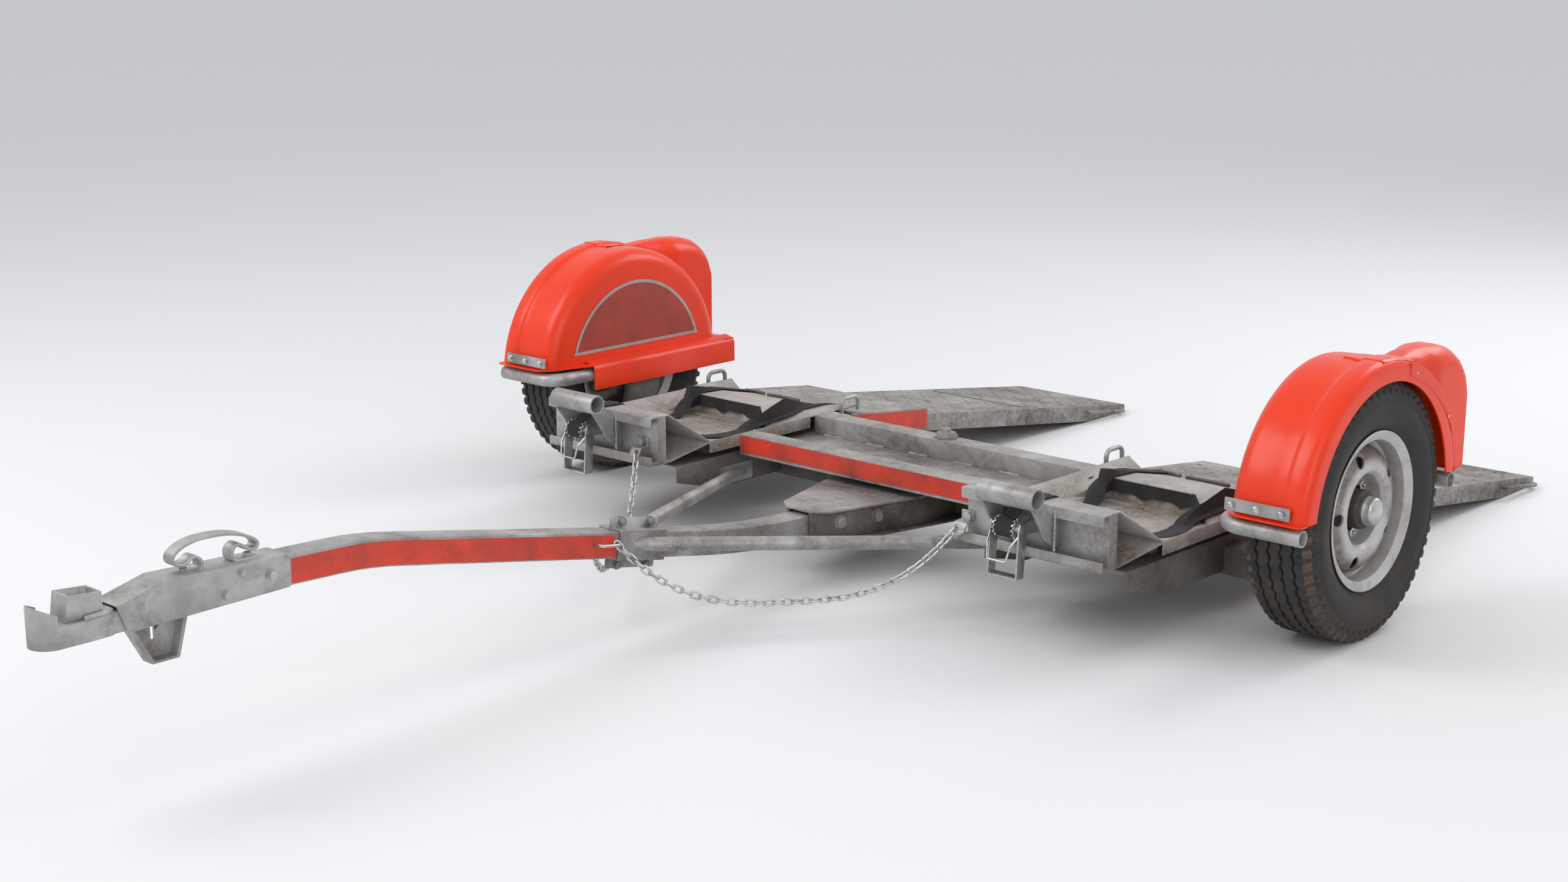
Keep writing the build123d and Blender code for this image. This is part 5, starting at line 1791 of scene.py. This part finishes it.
@dataclass
class BowHandle:
    """Flat strip bent into the coupler's lifting bow, with a curl at each foot."""

    half_width: float = 0.016
    half_sheet: float = 0.003
    edge: float = 0.0012
    path: Outline = (
        (-2.282, 0.407), (-2.255, 0.4068), (-2.232, 0.4075), (-2.2245, 0.415), (-2.2265, 0.427),
        (-2.236, 0.4355), (-2.246, 0.4350), (-2.257, 0.428), (-2.269, 0.4245), (-2.282, 0.430),
        (-2.287, 0.439), (-2.283, 0.449), (-2.268, 0.459), (-2.247, 0.4655), (-2.223, 0.4685),
        (-2.182, 0.4675), (-2.154, 0.463), (-2.130, 0.456), (-2.109, 0.446), (-2.098, 0.435),
        (-2.101, 0.4255), (-2.114, 0.4235), (-2.126, 0.430), (-2.136, 0.438), (-2.147, 0.4385),
        (-2.1555, 0.429), (-2.156, 0.4165), (-2.149, 0.4078), (-2.124, 0.4060), (-2.098, 0.4060),
    )
    bolt_places: tuple[float, ...] = (-2.258, -2.114)

    def build(self) -> None:
        """Build the bow and the bolts of its feet."""
        line = spline([Vector((0, AXLE_Y + y, z - 0.0005)) for y, z in self.path], 0.003)
        x, flat = self.half_width, self.half_width - self.edge
        section = (
            (flat, 1), (x, 0.5), (x, -0.5), (flat, -1), (-flat, -1), (-x, -0.5), (-x, 0.5), (-flat, 1)
        )
        rows = []
        for i, p in enumerate(line):
            ahead = heading(line, i).normalized()
            up = Vector((0, -ahead.z, ahead.y)) * self.half_sheet
            rows.append([p + Vector((a, 0, 0)) + b * up for a, b in section])
        mesh = Workshop.smooth(Workshop.capped(Workshop.grid(rows, closed_columns=True)), 50.0)
        steel, slot = Finishes.GALVANISED, Slot.GALVANISED
        Workshop.piece("bow_handle_strip", mesh, steel.material(), "frame", slot, ("bow_handle",))
        feet = Placed()
        for y in self.bolt_places:
            feet.add(Vector((0, AXLE_Y + y, 0.4085)), UP, 0.9, y)
        sizes = {"Head Radius": 0.0085, "Head Height": 0.006, "Washer Radius": 0.0115}
        Workshop.bolted("bow_handle_bolts", feet, steel, slot, sizes)


@dataclass
class RampGrip:
    """Grip marks on a ramp and its deck, and the ramp's cross seam."""

    side: str
    pitch: float = 0.092
    margin: float = 0.034
    far_margin: float = 0.030
    seam: float = 1.068
    seam_half: float = 0.0035
    ramp_reach: tuple[float, float] = (0.560, 1.560)
    deck_reach: tuple[float, float] = (0.180, 0.470)

    def marks(self, node: str, body: str, reach: tuple[float, float]) -> None:
        """Spread the marks over one node's top sheet, every second row shifted by half a pitch.

        Args:
            node: the CAD node that carries them.
            body: the body that it rides on.
            reach: first and last Y, from the axle.
        """
        tree = surface(node)
        low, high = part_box(node)
        placed = Placed()
        y, row = reach[0], 0
        while y < reach[1]:
            x = low.x + self.margin + (self.pitch / 2 if row % 2 else 0.0)
            while x < high.x - self.far_margin:
                hit, normal = tree.ray_cast(Vector((x, AXLE_Y + y, ABOVE_ALL)), DOWN)[:2]
                if hit and normal.z > 0.9:
                    placed.add(hit, normal)
                x += self.pitch
            y += self.pitch / 2
            row += 1
        steel = Finishes.WEATHERED.material()
        sizes = {"Length": 0.012, "Width": 0.0045, "Height": 0.0012, "Material": steel}
        mesh = MARKS.run(placed.mesh(), sizes)
        Workshop.piece(f"grip_marks_{node}", mesh, steel, body, Slot.WEATHERED)

    def seam_strip(self) -> None:
        """Lay the narrow raised seam across the ramp."""
        tree = surface(f"ramp_{self.side}")
        low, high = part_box(f"ramp_{self.side}")
        rows = []
        for y in (self.seam - self.seam_half, self.seam + self.seam_half):
            row = []
            for k in range(9):
                x = low.x + 0.006 + (high.x - low.x - 0.018) * k / 8
                hit = tree.ray_cast(Vector((x, AXLE_Y + y, ABOVE_ALL)), DOWN)[0]
                if hit:
                    row.append(hit + Vector((0, 0, 2 * HAIR)))
            rows.append(row)
        mesh = Workshop.smooth(Workshop.thick(Workshop.grid(rows), 0.0012, 0.0))
        name, body = f"ramp_seam_{self.side}", f"loading_ramp_{self.side}"
        Workshop.piece(name, mesh, Finishes.WEATHERED.material(), body, Slot.WEATHERED)

    def build(self) -> None:
        """Build the marks and the seam of one side."""
        self.marks(f"ramp_{self.side}", f"loading_ramp_{self.side}", self.ramp_reach)
        self.marks(f"deck_{self.side}", "frame", self.deck_reach)
        self.seam_strip()


@dataclass
class Welds:
    """Weld beads: stitches at the rear beam's foot, and runs at the stops and the front brackets."""

    stitch: float = 0.056
    stitch_places: tuple[float, ...] = (0.385, 0.235, 0.085, -0.065, -0.215, -0.365)
    stitch_line: tuple[float, float] = (0.032, 0.2055)
    stop_places: tuple[float, ...] = (-0.0745, 0.0815)
    bracket_places: tuple[float, ...] = (0.467, -0.435)

    def run(self, name: str, paths: list[tuple[Vector, Vector]], radius: float) -> None:
        """Lay beads along straight paths, as one piece.

        Args:
            name: the piece's name.
            paths: the two ends of each path.
            radius: radius of a bead.
        """
        mesh = bpy.data.meshes.new("paths")
        points = [p for path in paths for p in path]
        mesh.from_pydata(points, [(i, i + 1) for i in range(0, len(points), 2)], [])
        steel = Finishes.GALVANISED.material()
        sizes = {"Pitch": 0.9 * radius, "Radius": radius, "Seed": len(name), "Material": steel}
        Workshop.piece(name, WELDS.run(mesh, sizes), steel, "frame", Slot.GALVANISED)

    def build(self) -> None:
        """Build every run."""
        y, z = self.stitch_line
        half = self.stitch / 2
        stitches = []
        for x in self.stitch_places:
            stitches.append((Vector((x - half, AXLE_Y + y, z)), Vector((x + half, AXLE_Y + y, z))))
        self.run("beam_stitch_welds", stitches, 0.0042)
        upright = []
        for side, _ in SIDES:
            upright += [(PAN_X[side] + dx, -0.5565, 0.240, 0.328) for dx in self.stop_places]
        upright += [(x, -0.209, 0.208, 0.254) for x in self.bracket_places]
        runs = []
        for x, y, low, high in upright:
            runs.append((Vector((x, AXLE_Y + y, low)), Vector((x, AXLE_Y + y, high))))
        self.run("bracket_welds", runs, 0.0034)


@dataclass
class FrameSteel:
    """Welded and pressed steel of the frame: the CAD's own shapes with rounded edges and finishes."""

    rounding: float = 0.0012
    finishes: tuple[tuple[str, Finish, Slot], ...] = (
        ("rim", Finishes.RIM, Slot.RIM),
        ("fender_frame", Finishes.GALVANISED, Slot.GALVANISED),
        ("axle", Finishes.WEATHERED, Slot.WEATHERED),
        ("tray", Finishes.WEATHERED, Slot.WEATHERED),
        ("tongue_plate_top", Finishes.BEAM, Slot.WEATHERED),
        ("tongue_plate", Finishes.WEATHERED, Slot.WEATHERED),
        ("pan", Finishes.PAN, Slot.PAN),
        ("ratchet", Finishes.BRIGHT, Slot.BRIGHT),
        ("chain_tab", Finishes.GALVANISED, Slot.GALVANISED),
        ("chain", Finishes.BRIGHT, Slot.BRIGHT),
        ("base_plate", Finishes.BEAM, Slot.GALVANISED),
        ("front_beam", Finishes.BEAM, Slot.GALVANISED),
        ("rear_beam", Finishes.BEAM, Slot.GALVANISED),
        ("ramp", Finishes.BEAM, Slot.GALVANISED),
        ("deck", Finishes.BEAM, Slot.GALVANISED),
    )
    skipped: tuple[str, ...] = (
        "tyre", "safety_chain", "fender_left", "fender_right", "fender_hood", "wheel_strap", "hub",
        "bow_handle",
    )

    def dress(self, name: str, node: bpy.types.Object, body: str) -> None:
        """Give one CAD node rounded edges and its finish.

        Args:
            name: the node's name.
            node: its object.
            body: the body that it rides on.
        """
        finish, slot = Finishes.GALVANISED, Slot.GALVANISED
        for start, chosen, chosen_slot in self.finishes:
            if name.startswith(start):
                finish, slot = chosen, chosen_slot
                break
        mesh = Workshop.softened(node, self.rounding)
        Workshop.piece(f"{name}_steel", mesh, finish.material(), body, slot, (name,))

    def build(self) -> None:
        """Dress every node that no other class replaces."""
        bodies = {n: b for b, names in FRAME["record"]["behaviour"]["bodies"].items() for n in names}
        for name, node in sorted(FRAME["nodes"].items()):
            if not name.startswith(self.skipped):
                self.dress(name, node, bodies[name])


@dataclass
class FrameBolts:
    """Hex bolts of the clamp, tongue box, coupler housing and chain tabs."""

    lean: float = math.radians(10.93)
    clamp_place: tuple[float, float] = (-1.084, 0.215)
    housing: tuple[tuple[float, float, float, float], ...] = (
        (-2.085, 0.371, 0.95, 0.2), (-2.190, 0.352, 0.8, 0.2), (-2.150, 0.390, 0.8, 0.5),
    )
    plate: Outline = ((0.0782, -0.449), (0.1082, -0.344))
    tab_places: tuple[float, ...] = (0.545, -0.531)

    def build(self) -> None:
        """Build all the frame's bolts as one piece."""
        bolts = Placed()
        along = Vector((0, math.cos(self.lean), -math.sin(self.lean)))
        up = Vector((0, math.sin(self.lean), math.cos(self.lean)))
        y, z = self.clamp_place
        middle = Vector((0, AXLE_Y + y, z))
        for s in (-1, 1):
            out = Vector((s, 0, 0))
            for run in (-0.045, 0.045):
                for rise in (0.0495, -0.0495):
                    bolts.add(middle + along * run + up * rise + 0.005 * out, out, 0.95, run)
            for y, z, size, spin in self.housing:
                bolts.add(Vector((s * 0.0365, AXLE_Y + y, z)), out, size, spin)
            side = Vector((s * 1.0, -0.286, 0)).normalized()
            for x, y in self.plate:
                bolts.add(Vector((s * x, AXLE_Y + y, 0.147)), side, 1.35, 0.1)
        for x in self.tab_places:
            bolts.add(Vector((x, AXLE_Y - 0.533, 0.266)), Vector((0, -1, 0)), 1.2, 0.25)
        Workshop.bolted("frame_bolts", bolts, Finishes.GALVANISED, Slot.GALVANISED, {})


@dataclass
class Studio:
    """Floor, light and the camera of the photograph."""

    floor_colour: tuple[float, float, float] = (0.80, 0.80, 0.80)
    floor_half: float = 60.0
    floor_drop: float = 0.0005
    azimuth: float = 42.389
    pitch: float = 13.598
    lens: float = 52.37
    film: float = 36.0
    place: tuple[float, float, float] = (3.6361, -4.0550, 1.6652)
    lamps: tuple[tuple[str, tuple[float, float, float], float, float], ...] = (
        ("key", (-3.0, -3.5, 4.5), 135.0, 3.2),
        ("fill", (4.5, -3.0, 3.2), 65.0, 3.5),
        ("rim", (1.5, 5.0, 4.0), 110.0, 3.0),
    )

    def floor(self) -> None:
        """Lay the pale floor."""
        mesh = bpy.data.meshes.new("floor")
        h = self.floor_half
        edge = [(x, y, -self.floor_drop) for x, y in ((-h, -h), (h, -h), (h, h), (-h, h))]
        mesh.from_pydata(edge, [], [(0, 1, 2, 3)])
        paint = bpy.data.materials.new("studio_floor")
        paint.use_nodes = True
        shader = paint.node_tree.nodes["Principled BSDF"]
        colour = (*self.floor_colour, 1)
        Shader(paint.node_tree).fill(shader, {"Base Color": colour, "Roughness": 0.9})
        mesh.materials.append(paint)
        floor = bpy.data.objects.new("studio_floor", mesh)
        bpy.context.scene.collection.objects.link(floor)
        floor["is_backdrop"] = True

    def light(self) -> None:
        """Hang the soft lamps and set the world, which is paler to the camera and in reflections."""
        world = bpy.data.worlds.new("studio")
        bpy.context.scene.world = world
        world.use_nodes = True
        s = Shader(world.node_tree)
        nodes = world.node_tree.nodes
        back = s.fill(nodes["Background"], {"Color": (0.86, 0.88, 0.92, 1), "Strength": 0.78})
        seen = s.add("ShaderNodeBackground", Color=(0.86, 0.86, 0.87, 1), Strength=0.95)
        path = s.add("ShaderNodeLightPath").outputs
        any_view = s.calc("MAXIMUM", path["Is Camera Ray"], path["Is Glossy Ray"])
        mix = s.add("ShaderNodeMixShader")
        s.fill(mix, {"Fac": any_view, 1: back.outputs[0], 2: seen.outputs[0]})
        s.join(mix.outputs[0], nodes["World Output"].inputs["Surface"])
        for name, place, power, size in self.lamps:
            lamp = bpy.data.lights.new(name, "AREA")
            lamp.energy, lamp.size = power, size
            item = bpy.data.objects.new(name, lamp)
            item.location = place
            aim = Vector((0, 0, 0.2)) - Vector(place)
            item.rotation_euler = aim.to_track_quat("-Z", "Y").to_euler()
            bpy.context.scene.collection.objects.link(item)

    def camera(self) -> None:
        """Stand the camera where the photograph was taken."""
        data = bpy.data.cameras.new("photo_camera")
        data.lens, data.sensor_width = self.lens, self.film
        camera = bpy.data.objects.new("photo_camera", data)
        a, p = math.radians(self.azimuth), math.radians(self.pitch)
        look = Vector((-math.sin(a) * math.cos(p), math.cos(a) * math.cos(p), -math.sin(p)))
        camera.location = self.place
        camera.rotation_mode = "QUATERNION"
        camera.rotation_quaternion = look.to_track_quat("-Z", "Y")
        bpy.context.scene.collection.objects.link(camera)
        bpy.context.scene.camera = camera

    def build(self) -> None:
        """Set up the studio."""
        bpy.context.scene.view_settings.view_transform = "Standard"
        self.camera()
        self.floor()
        self.light()


def corners() -> list[list[float]]:
    """The object's lowest and highest corner as plain lists."""
    return [list(c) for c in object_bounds()]


def main() -> None:
    """Build the studio, then every sub-assembly in order."""
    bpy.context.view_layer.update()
    Studio().build()
    FrameSteel().build()
    for side, s in SIDES:
        RoadWheel(side, s).build()
        Fender(side, s).build()
        SafetyChain(side).build()
        Straps(side).build()
        RampGrip(side).build()
    BowHandle().build()
    Welds().build()
    TapeBands().build()
    FrameBolts().build()


if __name__ == "__main__":
    logging.basicConfig(level=logging.INFO)
    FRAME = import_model()
    BOLTS, LINKS, MARKS, WELDS = BoltTree(), LinkTree(), MarkTree(), WeldTree()
    main()
